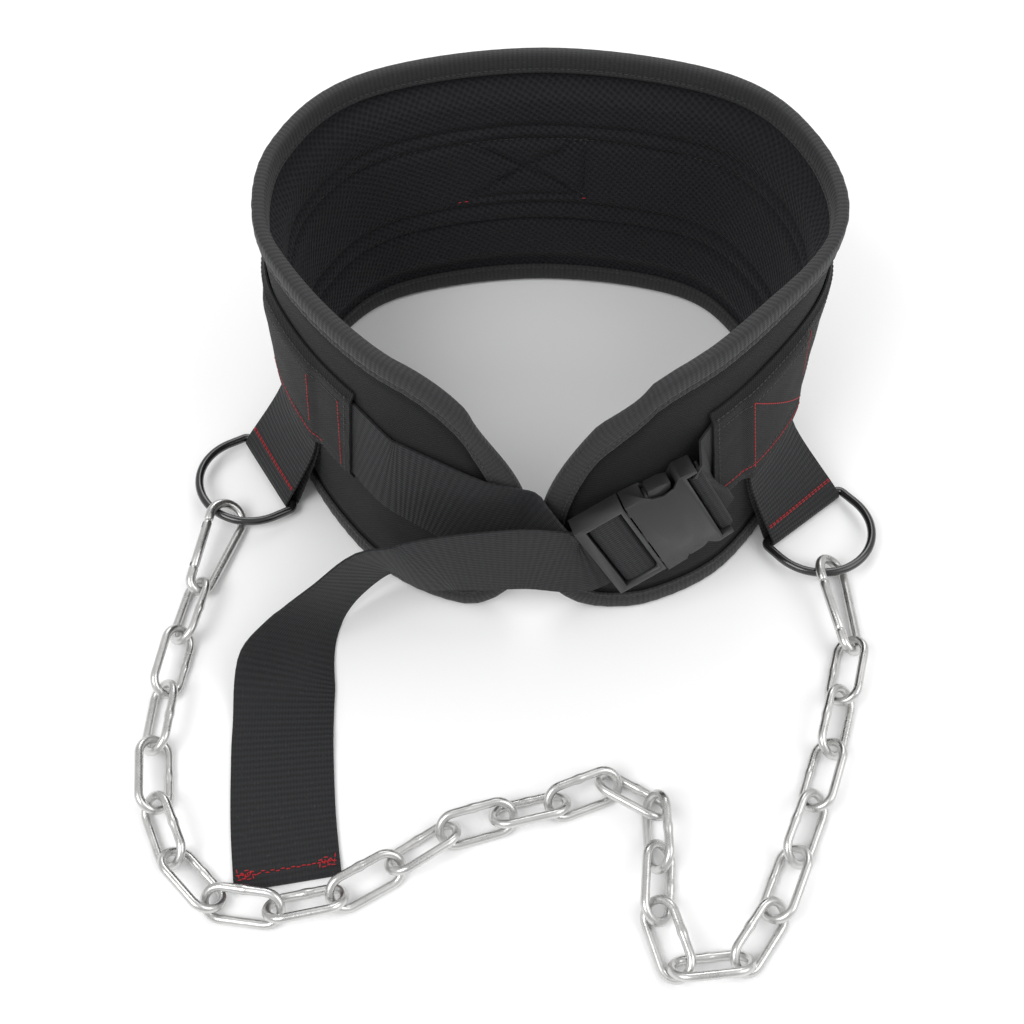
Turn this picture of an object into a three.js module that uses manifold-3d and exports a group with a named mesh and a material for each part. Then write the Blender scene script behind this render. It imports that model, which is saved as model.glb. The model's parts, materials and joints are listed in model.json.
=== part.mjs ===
// Dip belt: a padded waist belt with a side release buckle, two D rings, two snap hooks and a chain.
// Millimetres, +Z up. The buckle is in front (-Y) and the middle of the back is at +Y.
// The belt stands on its lower edge, and the chain and the end of the strap lie on the same floor.

import * as THREE from 'three';
import { mergeVertices } from 'three/addons/utils/BufferGeometryUtils.js';
import Module from 'manifold-3d';

const wasm = await Module();
wasm.setup();

const CLEARANCE = 0.3;
const LAYER_GAP = 0.5;

// Padded belt
const BELT_HEIGHT = 150;
const BELT_HALF_WIDTH = 136;
const BELT_HALF_DEPTH = 117;
const SHELL_THICKNESS = 5.5;
const SHELL_EDGE = 2.4;
const LINING_THICKNESS = 2.6;
const LINING_EDGE = 1.2;
const PAD_EDGE_START = 5;
const PAD_EDGE_RUN = 10;
const NOSE_HEIGHT = 46;
const NOSE_FLAT = 12;
const TIP_UPPER_RUN = 80;
const TIP_LOWER_RUN = 36;
const COLUMN_PITCH = 21;

// Binding tape folded over every edge of the belt
const TAPE_THICKNESS = 1.2;
const TAPE_GAP = 0.5;
const TAPE_WIDTH = 10;

// Webbing and the wide band that is sewn over it
const STRAP_WIDTH = 50;
const STRAP_THICKNESS = 1.4;
const STRAP_BEND = 1;
const BAND_BESIDE_STRAP = 6.5;
const BAND_WIDTH = STRAP_WIDTH + 2 * BAND_BESIDE_STRAP;
const BAND_THICKNESS = 1.4;
const BAND_HEM = 5;
const BAND_MIDDLE = 86;
const BAND_END_LEFT = 105;
const BAND_END_RIGHT = 96;

// Tabs that hold the D rings, placed from the two ends of the belt
const TAB_LEFT = 163;
const TAB_RIGHT = 151;
const TAB_TOP = 104;
const TAB_LEAVES_WALL = 46;
const TAB_RAMP = 7;

// D rings
const RING_PLAY = 2;
const RING_INSIDE = STRAP_WIDTH + RING_PLAY;
const RING_HEIGHT = 45;
const RING_WIRE = 4.5;
const RING_CORNER = 3.4;
const RING_STANDOFF = 20;
const RING_TURN_LEFT = 12;
const RING_TURN_RIGHT = -24;

// Snap hooks: pear shaped wire hooks with a hinged gate
const HOOK_LENGTH = 58;
const HOOK_WIDE = 24;
const HOOK_NARROW = 16.6;
const HOOK_WIRE = 5;
const HOOK_ROLL = 38;
const HOOK_HEADING_LEFT = -104;
const HOOK_HEADING_RIGHT = -83;
const HOOK_SEAT_LEFT = -17;
const HOOK_SEAT_RIGHT = 15;
const HOOK_PLAY = 2.8;
const GATE_START = 6.2;
const GATE_LENGTH = 26;
const TONGUE_THICKNESS = 1.7;
const HINGE_PIN = 1.8;

// Chain
const LINK_COUNT = 24;
const LINK_LENGTH = 40;
const LINK_WIDTH = 20;
const LINK_WIRE = 4.2;
const LINK_ROLL = 40;
const LINK_SLACK = 3.2;

// Buckle, measured along the strap, across it and out from the belt
const BUCKLE_FROM_TIP = 25;
const BUCKLE_LENGTH = 64;
const STRAP_ROOM = 0.5;
const BUCKLE_RAIL = 3.25;
const BUCKLE_WIDTH = STRAP_WIDTH + 2 * (STRAP_ROOM + BUCKLE_RAIL);
const BUCKLE_DEPTH = 12;
const BUCKLE_STANDOFF = 7.2;
const BUCKLE_LEFT_HEIGHT = 52;
const BUCKLE_RIGHT_HEIGHT = 79;
const LOCK_LENGTH = 26;
const END_BAR = 4.8;
const MIDDLE_BAR = 13.4;

// Free end of the strap: how far its end lies to the side and in front of the belt's own middle
const FREE_END_SIDE = 119;
const FREE_END_FRONT = 261;

// Plan of the wall's foot from the left tip round the back to the right tip.
// side and back are shares of the belt's half width and half depth.
// lean is how far the wall's top stands outward, as a share of the belt's height.
const WALL_STATIONS = [
  { side: -0.051, back: -0.957, lean: -0.173 },
  { side: -0.301, back: -0.966, lean: -0.167 },
  { side: -0.574, back: -0.821, lean: -0.147 },
  { side: -0.794, back: -0.547, lean: -0.113 },
  { side: -0.956, back: -0.214, lean: -0.067 },
  { side: -1.0, back: 0.128, lean: 0.013 },
  { side: -0.919, back: 0.53, lean: 0.067 },
  { side: -0.625, back: 0.863, lean: 0.113 },
  { side: 0.0, back: 1.0, lean: 0.133 },
  { side: 0.625, back: 0.88, lean: 0.113 },
  { side: 0.897, back: 0.581, lean: 0.1 },
  { side: 1.007, back: 0.128, lean: 0.053 },
  { side: 0.963, back: -0.342, lean: -0.133 },
  { side: 0.721, back: -0.761, lean: -0.207 },
  { side: 0.426, back: -0.957, lean: -0.187 },
  { side: 0.184, back: -0.983, lean: -0.173 },
  { side: -0.007, back: -0.974, lean: -0.173 },
];

// Left run of the waist strap in front of the band, at columns of the belt's tip.
// column counts from the tip, up is a share of the band's height, out is in thicknesses of the strap.
const FRONT_RUN = [
  { column: 9, up: 0.925, out: 0.93 },
  { column: 8, up: 0.92, out: 1.0 },
  { column: 7, up: 0.905, out: 1.15 },
  { column: 6, up: 0.865, out: 1.5 },
  { column: 5, up: 0.82, out: 1.85 },
  { column: 4, up: 0.775, out: 2.15 },
  { column: 3, up: 0.735, out: 2.35 },
  { column: 2, up: 0.7, out: 2.5 },
];

// Free end of the strap from the buckle to the floor.
// side and front are shares of FREE_END_SIDE and FREE_END_FRONT, up is a share of the strap's width.
// rise and heading are the angles of the line across the strap, from its lower to its upper edge.
const FREE_END = [
  { side: 0.09, front: 0.462, up: 1.15, rise: 86, heading: 90 },
  { side: 0.412, front: 0.466, up: 1.09, rise: 90, heading: 180 },
  { side: 0.53, front: 0.462, up: 0.98, rise: 84, heading: 250 },
  { side: 0.68, front: 0.445, up: 0.92, rise: 69, heading: 236 },
  { side: 0.84, front: 0.466, up: 0.66, rise: 58, heading: 226 },
  { side: 0.99, front: 0.52, up: 0.39, rise: 37, heading: 214 },
  { side: 1.075, front: 0.6, up: 0.11, rise: 9, heading: 203 },
  { side: 1.08, front: 0.7, up: 0.016, rise: 0, heading: 189 },
  { side: 1.065, front: 0.79, up: 0.016, rise: 0, heading: 182 },
  { side: 1.04, front: 0.89, up: 0.016, rise: 0, heading: 178 },
  { side: 1.0, front: 1.0, up: 0.016, rise: 0, heading: 180 },
];

// Chosen joints of the chain on the floor, from the left hook to the right one.
// joint 1 is where links 1 and 2 meet; the joints at the two hooks come from the hooks.
const CHAIN_ROUTE = [
  { joint: 2, x: -188, y: -166 },
  { joint: 4, x: -185, y: -225 },
  { joint: 6, x: -152, y: -271 },
  { joint: 8, x: -95, y: -269 },
  { joint: 10, x: -44, y: -238 },
  { joint: 12, x: 6, y: -225 },
  { joint: 13, x: 32, y: -215 },
  { joint: 14, x: 53, y: -227 },
  { joint: 16, x: 51, y: -274 },
  { joint: 17, x: 59, y: -301 },
  { joint: 18, x: 88, y: -298 },
  { joint: 20, x: 117, y: -250 },
  { joint: 22, x: 140, y: -197 },
];

// Links that lie at another roll than their neighbours' usual one, in degrees.
const LINK_ROLLS = [
  { link: 2, roll: -52 },
  { link: 15, roll: 58 },
  { link: 17, roll: 35 },
  { link: 18, roll: -50 },
];

const FINISH = {
  shell: { color: 0x232326, roughness: 0.9, metalness: 0 },
  lining: { color: 0x1a1a20, roughness: 0.95, metalness: 0 },
  tape: { color: 0x3a3a3c, roughness: 0.85, metalness: 0 },
  webbing: { color: 0x303034, roughness: 0.85, metalness: 0 },
  gunmetal: { color: 0x28282a, roughness: 0.3, metalness: 0.9 },
  zinc: { color: 0xb8b8b6, roughness: 0.38, metalness: 0.95 },
  plastic: { color: 0x2c2c2e, roughness: 0.55, metalness: 0 },
};

const UP = new THREE.Vector3(0, 0, 1);
const RADIANS = Math.PI / 180;
const linkHeight = LINK_WIRE / 2 + ((LINK_WIDTH - LINK_WIRE) / 2) * Math.sin(LINK_ROLL * RADIANS);

// Building blocks

function finished(name, geometry, finish) {
  const mesh = new THREE.Mesh(geometry, new THREE.MeshStandardMaterial(finish));
  mesh.name = name;
  return mesh;
}

function signedVolume(geometry) {
  const place = geometry.getAttribute('position');
  const index = geometry.getIndex();
  const corner = [new THREE.Vector3(), new THREE.Vector3(), new THREE.Vector3()];
  let total = 0;
  for (let i = 0; i < index.count; i += 3) {
    corner.forEach((point, k) => point.fromBufferAttribute(place, index.getX(i + k)));
    total += corner[0].dot(corner[1].clone().cross(corner[2])) / 6;
  }
  return total;
}

function closedMesh(points, faces) {
  const geometry = new THREE.BufferGeometry();
  geometry.setAttribute('position', new THREE.Float32BufferAttribute(points.flatMap((p) => p.toArray()), 3));
  geometry.setIndex(faces.flat());
  if (signedVolume(geometry) < 0) {
    geometry.setIndex(faces.flatMap(([a, b, c]) => [a, c, b]));
  }
  return geometry;
}

// True where the diagonal from one corner of a quad bulges further along a direction than the other.
function bulges(grid, i, j, direction) {
  const first = grid[i][j].clone().add(grid[i + 1][j + 1]);
  const second = grid[i + 1][j].clone().add(grid[i][j + 1]);
  return first.sub(second).dot(direction) > 0;
}

// A sheet with thickness: front and rear are grids of points of the same size.
// On a twisted quad the rear bends towards the front, and the front of a slim sheet bends back.
function sheet(front, rear, slim = false) {
  const rows = front.length;
  const columns = front[0].length;
  const points = [...front.flat(), ...rear.flat()];
  const onFront = (i, j) => i * columns + j;
  const onRear = (i, j) => rows * columns + i * columns + j;
  const faces = [];
  const quad = (a, b, c, d, turned = false) => {
    if (turned) {
      faces.push([a, b, d], [b, c, d]);
    } else {
      faces.push([a, b, c], [a, c, d]);
    }
  };
  for (let i = 0; i < rows - 1; i += 1) {
    for (let j = 0; j < columns - 1; j += 1) {
      const outward = front[i][j].clone().sub(rear[i][j]);
      const rearTurned = !bulges(rear, i, j, outward);
      const frontTurned = slim ? bulges(front, i, j, outward) : rearTurned;
      quad(onFront(i, j), onFront(i + 1, j), onFront(i + 1, j + 1), onFront(i, j + 1), frontTurned);
      quad(onRear(i + 1, j), onRear(i, j), onRear(i, j + 1), onRear(i + 1, j + 1), !rearTurned);
    }
    quad(onFront(i, 0), onRear(i, 0), onRear(i + 1, 0), onFront(i + 1, 0));
    const last = columns - 1;
    quad(onFront(i, last), onFront(i + 1, last), onRear(i + 1, last), onRear(i, last));
  }
  for (let j = 0; j < columns - 1; j += 1) {
    quad(onFront(0, j), onFront(0, j + 1), onRear(0, j + 1), onRear(0, j));
    const last = rows - 1;
    quad(onFront(last, j), onRear(last, j), onRear(last, j + 1), onFront(last, j + 1));
  }
  return closedMesh(points, faces);
}

// A ring of equal sections, closed on itself.
function closedSweep(sections) {
  const count = sections.length;
  const sides = sections[0].length;
  const faces = [];
  for (let i = 0; i < count; i += 1) {
    const next = (i + 1) % count;
    for (let j = 0; j < sides; j += 1) {
      const beside = (j + 1) % sides;
      faces.push([i * sides + j, next * sides + j, next * sides + beside]);
      faces.push([i * sides + j, next * sides + beside, i * sides + beside]);
    }
  }
  return closedMesh(sections.flat(), faces);
}

// A closed loop of wire through chosen points, with one ring of vertices at each point.
class WireLoop extends THREE.Curve {
  constructor(points) {
    super();
    this.points = points;
  }

  getPoint(t, target = new THREE.Vector3()) {
    const count = this.points.length;
    return target.copy(this.points[Math.round(t * count) % count]);
  }

  getPointAt(u, target) {
    return this.getPoint(u, target);
  }

  getTangentAt(u, target = new THREE.Vector3()) {
    const count = this.points.length;
    const here = Math.round(u * count) % count;
    const before = this.points[(here + count - 1) % count];
    const after = this.points[(here + 1) % count];
    return target.copy(after).sub(before).normalize();
  }
}

function wireRing(points, diameter, sides) {
  return new THREE.TubeGeometry(new WireLoop(points), points.length, diameter / 2, sides, true);
}

function arcPoints(centreX, centreY, radiusX, radiusY, fromDegrees, toDegrees, steps) {
  return Array.from({ length: steps + 1 }, (_, i) => {
    const angle = (fromDegrees + ((toDegrees - fromDegrees) * i) / steps) * RADIANS;
    return new THREE.Vector3(centreX + radiusX * Math.cos(angle), centreY + radiusY * Math.sin(angle), 0);
  });
}

function solidOf(geometry) {
  const bare = geometry.clone();
  bare.deleteAttribute('normal');
  bare.deleteAttribute('uv');
  const merged = mergeVertices(bare, 1e-4);
  return new wasm.Manifold(new wasm.Mesh({
    numProp: 3,
    vertProperties: new Float32Array(merged.getAttribute('position').array),
    triVerts: new Uint32Array(merged.getIndex().array),
  }));
}

function geometryOf(solid) {
  const mesh = solid.getMesh();
  const geometry = new THREE.BufferGeometry();
  geometry.setAttribute('position', new THREE.Float32BufferAttribute(mesh.vertProperties, 3));
  geometry.setIndex([...mesh.triVerts]);
  return geometry;
}

// A block between two corners, given as [x, y, z] lists.
function block(low, high) {
  const size = high.map((value, k) => value - low[k]);
  const geometry = new THREE.BoxGeometry(...size);
  geometry.translate(...low.map((value, k) => value + size[k] / 2));
  return solidOf(geometry);
}

function prism(outline, lowZ, highZ) {
  const shape = new THREE.Shape(outline.map(([x, y]) => new THREE.Vector2(x, y)));
  const geometry = new THREE.ExtrudeGeometry(shape, { depth: highZ - lowZ, bevelEnabled: false });
  geometry.translate(0, 0, lowZ);
  return solidOf(geometry);
}

// The belt's wall, with flat facets between columns that every layer on it shares

function stationPoint(station) {
  return new THREE.Vector3(station.side * BELT_HALF_WIDTH, station.back * BELT_HALF_DEPTH, 0);
}

const wallCurve = new THREE.CatmullRomCurve3(WALL_STATIONS.map(stationPoint), false, 'catmullrom', 0.5);
const leanPoints = WALL_STATIONS.map((station) => new THREE.Vector3(station.lean, 0, 0));
const leanCurve = new THREE.CatmullRomCurve3(leanPoints, false, 'catmullrom', 0.5);
const WALL_FOOT = TAPE_THICKNESS + TAPE_GAP + 0.4;
wallCurve.arcLengthDivisions = 1600;
const girth = wallCurve.getLength();

function tipColumns(run) {
  return [0, 0.02, 0.06, 0.13, 0.22, 0.34, 0.48, 0.66, 0.83, 1].map((share) => share * run);
}

function wallColumns() {
  const tips = tipColumns(TIP_UPPER_RUN);
  const middle = girth - 2 * TIP_UPPER_RUN;
  const count = Math.round(middle / COLUMN_PITCH);
  const between = Array.from({ length: count - 1 }, (_, i) => TIP_UPPER_RUN + (middle * (i + 1)) / count);
  return [...tips, ...between, ...tips.map((distance) => girth - distance).reverse()];
}

const columns = wallColumns();

function columnFrame(along) {
  const t = wallCurve.getUtoTmapping(0, along);
  const ahead = wallCurve.getTangent(t);
  const lean = leanCurve.getPoint(t).x;
  const shrink = 1 / Math.hypot(1, lean);
  const outward = new THREE.Vector3(-ahead.y, ahead.x, 0);
  return {
    foot: wallCurve.getPoint(t).setZ(WALL_FOOT),
    ahead,
    rise: outward.clone().multiplyScalar(lean * shrink).setZ(shrink),
    out: outward.clone().multiplyScalar(shrink).setZ(-lean * shrink),
  };
}

const frames = columns.map(columnFrame);

// A point on the wall: along its girth from the left tip, up from its foot and out from its face.
function onWall(along, up, out) {
  const clamped = THREE.MathUtils.clamp(along, 0, girth);
  let index = columns.findIndex((column) => column > clamped) - 1;
  if (index < 0) {
    index = columns.length - 2;
  }
  const share = (clamped - columns[index]) / (columns[index + 1] - columns[index]);
  const [before, after] = [frames[index], frames[index + 1]].map((frame) => frame.foot.clone()
    .addScaledVector(frame.rise, up)
    .addScaledVector(frame.out, out));
  return before.lerp(after, share).addScaledVector(frames[index].ahead, along - clamped);
}

function columnsBetween(from, to) {
  const inside = columns.filter((column) => column > from + 1 && column < to - 1);
  return [from, ...inside, to];
}

function tipShare(distance, run) {
  const remaining = 1 - Math.min(distance / run, 1);
  return Math.sqrt(1 - remaining * remaining);
}

function edgeHeights(along) {
  const fromTip = Math.max(Math.min(along, girth - along), 0);
  const upperNose = NOSE_HEIGHT + NOSE_FLAT / 2;
  const lowerNose = NOSE_HEIGHT - NOSE_FLAT / 2;
  return {
    upper: upperNose + (BELT_HEIGHT - upperNose) * tipShare(fromTip, TIP_UPPER_RUN),
    lower: lowerNose * (1 - tipShare(fromTip, TIP_LOWER_RUN)),
  };
}

function edgeLoop() {
  const upper = columns.map((along) => new THREE.Vector2(along, edgeHeights(along).upper));
  const lower = columns.map((along) => new THREE.Vector2(along, edgeHeights(along).lower));
  return [...upper, ...lower.reverse()];
}

function distanceToEdge(along, up, loop) {
  const point = new THREE.Vector2(along, up);
  const distances = loop.map((start, i) => {
    const end = loop[(i + 1) % loop.length];
    const edge = end.clone().sub(start);
    const share = THREE.MathUtils.clamp(point.clone().sub(start).dot(edge) / edge.lengthSq(), 0, 1);
    return start.clone().addScaledVector(edge, share).distanceTo(point);
  });
  return Math.min(...distances);
}

// Thickness of a layer that is thin under the tape and full a little further in.
function layerThickness(along, up, loop, edge, full) {
  const distance = distanceToEdge(along, up, loop);
  const start = TAPE_WIDTH + PAD_EDGE_START;
  const share = THREE.MathUtils.smoothstep(distance, start, start + PAD_EDGE_RUN);
  return edge + (full - edge) * share;
}

// Belt pieces

const PAD_ROWS = [0, 0.075, 0.16, 0.5, 0.84, 0.925, 1];

function beltShell() {
  const loop = edgeLoop();
  const face = (along, row, out) => {
    const { lower, upper } = edgeHeights(along);
    const up = lower + (upper - lower) * row;
    return onWall(along, up, out(along, up));
  };
  const thickness = (along, up) => layerThickness(along, up, loop, SHELL_EDGE, SHELL_THICKNESS);
  const front = columns.map((along) => PAD_ROWS.map((row) => face(along, row, () => 0)));
  const rear = columns.map((along) => PAD_ROWS.map((row) => face(along, row, (s, up) => -thickness(s, up))));
  return finished('belt_shell', sheet(front, rear, true), FINISH.shell);
}

function beltLining() {
  const loop = edgeLoop();
  const shell = (along, up) => layerThickness(along, up, loop, SHELL_EDGE, SHELL_THICKNESS);
  const lining = (along, up) => layerThickness(along, up, loop, LINING_EDGE, LINING_THICKNESS);
  const face = (along, row, withLining) => {
    const { lower, upper } = edgeHeights(along);
    const up = lower + (upper - lower) * row;
    const depth = shell(along, up) + CLEARANCE + (withLining ? lining(along, up) : 0);
    return onWall(along, up, -depth);
  };
  const front = columns.map((along) => PAD_ROWS.map((row) => face(along, row, false)));
  const rear = columns.map((along) => PAD_ROWS.map((row) => face(along, row, true)));
  return finished('belt_lining', sheet(front, rear, true), FINISH.lining);
}

// Tape folded over the edge: a U shaped section that follows the belt's outline.
function edgeBinding() {
  const loop = edgeLoop();
  const padEdge = SHELL_EDGE + CLEARANCE + LINING_EDGE;
  const outer = TAPE_GAP + TAPE_THICKNESS;
  const inner = -padEdge - TAPE_GAP - TAPE_THICKNESS;
  const section = [
    [-TAPE_WIDTH, TAPE_GAP],
    [-TAPE_WIDTH, outer],
    [outer, outer],
    [outer, inner],
    [-TAPE_WIDTH, inner],
    [-TAPE_WIDTH, inner + TAPE_THICKNESS],
    [TAPE_GAP, inner + TAPE_THICKNESS],
    [TAPE_GAP, TAPE_GAP],
  ];
  const sections = loop.map((point, i) => {
    const before = loop[(i + loop.length - 1) % loop.length];
    const after = loop[(i + 1) % loop.length];
    const first = point.clone().sub(before).normalize();
    const second = after.clone().sub(point).normalize();
    const along = first.clone().add(second).normalize();
    const away = new THREE.Vector2(-along.y, along.x);
    const mitre = 1 / Math.max(along.dot(first), 0.7);
    const rests = point.y === 0;
    return section.map(([beyond, out]) => {
      const reach = beyond * mitre;
      const placed = onWall(point.x + away.x * reach, point.y + away.y * reach, out);
      return rests && beyond === outer ? placed.setZ(0) : placed;
    });
  });
  return finished('edge_binding', closedSweep(sections), FINISH.tape);
}

// How far the band stands out over a tab that passes below it.
function tabRise(along) {
  const half = STRAP_WIDTH / 2;
  const rises = [TAB_LEFT, girth - TAB_RIGHT].map((middle) => {
    const outside = Math.abs(along - middle) - half;
    return 1 - THREE.MathUtils.smoothstep(outside, CLEARANCE, CLEARANCE + TAB_RAMP);
  });
  return Math.max(...rises) * (STRAP_THICKNESS + LAYER_GAP);
}

// The wall's columns between two places, with the places where the band steps over a tab.
function layerColumns(from, to) {
  const reach = STRAP_WIDTH / 2 + CLEARANCE;
  const steps = [TAB_LEFT, girth - TAB_RIGHT].flatMap((middle) => [
    middle - reach - TAB_RAMP, middle - reach, middle + reach, middle + reach + TAB_RAMP,
  ]);
  const shared = columnsBetween(from, to);
  const apart = steps.filter((step) => shared.every((column) => Math.abs(step - column) > 1));
  return [...shared, ...apart.filter((step) => step > from && step < to)].sort((a, b) => a - b);
}

function outerBand() {
  const low = BAND_MIDDLE - BAND_WIDTH / 2;
  const high = BAND_MIDDLE + BAND_WIDTH / 2;
  const flat = STRAP_THICKNESS + 2 * LAYER_GAP;
  const rows = [
    { up: low, standoff: CLEARANCE, covers: 1 },
    { up: low + BAND_HEM, standoff: flat, covers: 0 },
    { up: high - BAND_HEM, standoff: flat, covers: 0 },
    { up: high, standoff: CLEARANCE, covers: -1 },
  ];
  const standoff = (along, row) => {
    const rise = tabRise(along);
    const lifted = rise / (STRAP_THICKNESS + LAYER_GAP);
    const raised = flat + rise;
    return row.covers < 0 ? row.standoff : row.standoff + (raised - row.standoff) * Math.max(lifted, 0);
  };
  const places = layerColumns(BAND_END_LEFT, girth - BAND_END_RIGHT);
  const rear = places.map((along) => rows.map((row) => onWall(along, row.up, standoff(along, row))));
  const front = places.map((along) => rows.map((row) => {
    return onWall(along, row.up, standoff(along, row) + BAND_THICKNESS);
  }));
  return finished('outer_band', sheet(front, rear), FINISH.webbing);
}

// The buckle's frame: x along the strap to the right, y across it and z out from the belt.
function buckleFrame() {
  const left = onWall(girth - BUCKLE_FROM_TIP, BUCKLE_LEFT_HEIGHT, BUCKLE_STANDOFF);
  const right = onWall(girth - BUCKLE_FROM_TIP - BUCKLE_LENGTH, BUCKLE_RIGHT_HEIGHT, BUCKLE_STANDOFF);
  const along = right.clone().sub(left).normalize();
  const middle = girth - BUCKLE_FROM_TIP - BUCKLE_LENGTH / 2;
  const wallOut = onWall(middle, BUCKLE_LEFT_HEIGHT, 1).sub(onWall(middle, BUCKLE_LEFT_HEIGHT, 0));
  const out = wallOut.addScaledVector(along, -wallOut.dot(along)).normalize();
  const across = out.clone().cross(along);
  return new THREE.Matrix4().makeBasis(along, across, out).setPosition(left);
}

const buckle = buckleFrame();

function inBuckle(x, y, z) {
  return new THREE.Vector3(x, y, z).applyMatrix4(buckle);
}

// A strap through stations, each given by the middle of its section, its half width
// across and its outward normal.
function strapSheet(stations) {
  const half = STRAP_THICKNESS / 2;
  const face = (side) => stations.map(({ centre, across, normal }) => [-1, 1].map((edge) => centre.clone()
    .addScaledVector(across, edge)
    .addScaledVector(normal, side * half)));
  return sheet(face(1), face(-1));
}

function wallStation(along, up, out, halfWidth) {
  const centre = onWall(along, up, out);
  const above = onWall(along, up + 1, out).sub(centre);
  const normal = onWall(along, up, out + 1).sub(centre);
  return { centre, across: above.multiplyScalar(halfWidth), normal };
}

// A path in the buckle's own x and z, turned into strap stations. facing is -1 where the path runs to the left.
function buckleStations(path, facing = 1) {
  const half = STRAP_WIDTH / 2 - CLEARANCE;
  const across = inBuckle(0, half, 0).sub(inBuckle(0, 0, 0));
  const origin = inBuckle(0, 0, 0);
  return path.map(([x, z], i) => {
    const before = path[Math.max(i - 1, 0)];
    const after = path[Math.min(i + 1, path.length - 1)];
    const run = new THREE.Vector2(after[0] - before[0], after[1] - before[1]).normalize();
    const normal = inBuckle(-run.y, 0, run.x).sub(origin).multiplyScalar(facing);
    return { centre: inBuckle(x, 0, z), across: across.clone(), normal };
  });
}

// Heights in the buckle that the strap is threaded between.
const lock = {
  under: CLEARANCE + STRAP_THICKNESS / 2,
  back: 2 * CLEARANCE + STRAP_THICKNESS * 1.5,
  barLow: 3 * CLEARANCE + 2 * STRAP_THICKNESS,
  barHigh: 3 * CLEARANCE + 2 * STRAP_THICKNESS + 3.2,
};
lock.over = lock.barHigh + CLEARANCE + STRAP_THICKNESS / 2;
lock.firstSlot = END_BAR + CLEARANCE + STRAP_THICKNESS / 2 + 0.6;
lock.barStart = lock.firstSlot + STRAP_THICKNESS / 2 + CLEARANCE + 0.4;
lock.barEnd = lock.barStart + MIDDLE_BAR;
lock.secondSlot = lock.barEnd + CLEARANCE + STRAP_THICKNESS / 2 + 0.3;
lock.plateStart = lock.secondSlot + STRAP_THICKNESS / 2 + CLEARANCE + 0.3;

function lockPath() {
  const bend = STRAP_BEND;
  return [
    [-8, lock.under],
    [lock.secondSlot - bend, lock.under],
    [lock.secondSlot, lock.under + bend],
    [lock.secondSlot, lock.over - bend],
    [lock.secondSlot - bend, lock.over],
    [lock.firstSlot + bend, lock.over],
    [lock.firstSlot, lock.over - bend],
    [lock.firstSlot, lock.back + bend],
    [lock.firstSlot - bend, lock.back],
    [-6, lock.back + 0.5],
  ];
}

function freeEndStations() {
  return FREE_END.map((row) => {
    const rise = row.rise * RADIANS;
    const heading = row.heading * RADIANS;
    const across = new THREE.Vector3(
      Math.cos(rise) * Math.cos(heading),
      Math.cos(rise) * Math.sin(heading),
      Math.sin(rise),
    );
    const centre = new THREE.Vector3(-row.side * FREE_END_SIDE, -row.front * FREE_END_FRONT, row.up * STRAP_WIDTH);
    return { centre, across };
  });
}

// Outward normals for stations that only know their centre and the line across.
function withNormals(stations, before) {
  const centres = [before, ...stations.map((station) => station.centre)];
  return stations.map((station, i) => {
    const next = centres[Math.min(i + 2, centres.length - 1)];
    const run = next.clone().sub(centres[i]).normalize();
    const across = station.across.clone().addScaledVector(run, -station.across.dot(run)).normalize();
    const normal = across.clone().cross(run).normalize();
    return { centre: station.centre, across: station.across.clone().multiplyScalar(STRAP_WIDTH / 2), normal };
  });
}

function waistStrapLeft() {
  const half = STRAP_WIDTH / 2;
  const covered = LAYER_GAP + STRAP_THICKNESS / 2;
  const back = layerColumns(BAND_END_LEFT, girth / 2 - CLEARANCE / 2).reverse();
  const hidden = back.map((along) => wallStation(along, BAND_MIDDLE, covered, half));
  const shown = FRONT_RUN.map((row) => {
    return wallStation(columns[row.column], row.up * BAND_MIDDLE, row.out * STRAP_THICKNESS, half * 1.04);
  });
  const locked = buckleStations(lockPath());
  const free = withNormals(freeEndStations(), locked[locked.length - 1].centre);
  return finished('waist_strap_left', strapSheet([...hidden, ...shown, ...locked, ...free]), FINISH.webbing);
}

function waistStrapRight() {
  const half = STRAP_WIDTH / 2;
  const covered = LAYER_GAP + STRAP_THICKNESS / 2;
  const places = layerColumns(girth / 2 + CLEARANCE / 2, girth - BAND_END_RIGHT + 2);
  const hidden = places.map((along) => wallStation(along, BAND_MIDDLE, covered, half));
  const looped = buckleStations(socketLoopPath(), -1);
  return finished('waist_strap_right', strapSheet([...hidden, ...looped]), FINISH.webbing);
}

// Socket of the buckle and the strap that is sewn round its end bar.
const socket = {
  start: LOCK_LENGTH + CLEARANCE + 0.6,
  barStart: BUCKLE_LENGTH - 3.4,
  barLow: lock.barLow,
  barHigh: lock.barLow + 3.6,
};
socket.slot = socket.barStart - CLEARANCE - STRAP_THICKNESS / 2 - 0.2;
socket.slotStart = socket.slot - STRAP_THICKNESS / 2 - CLEARANCE - 0.2;

function socketLoopPath() {
  const bend = STRAP_BEND;
  const over = socket.barHigh + CLEARANCE + STRAP_THICKNESS / 2 + 0.1;
  const beyond = BUCKLE_LENGTH + 1.4;
  return [
    [BUCKLE_LENGTH, lock.under + 0.6],
    [socket.slot + bend, lock.under + 0.6],
    [socket.slot, lock.under + 0.6 + bend],
    [socket.slot, over - bend],
    [socket.slot + bend, over],
    [beyond - bend, over],
    [beyond, over - bend],
    [beyond, lock.back + 1.4],
  ];
}

// Buckle pieces

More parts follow.
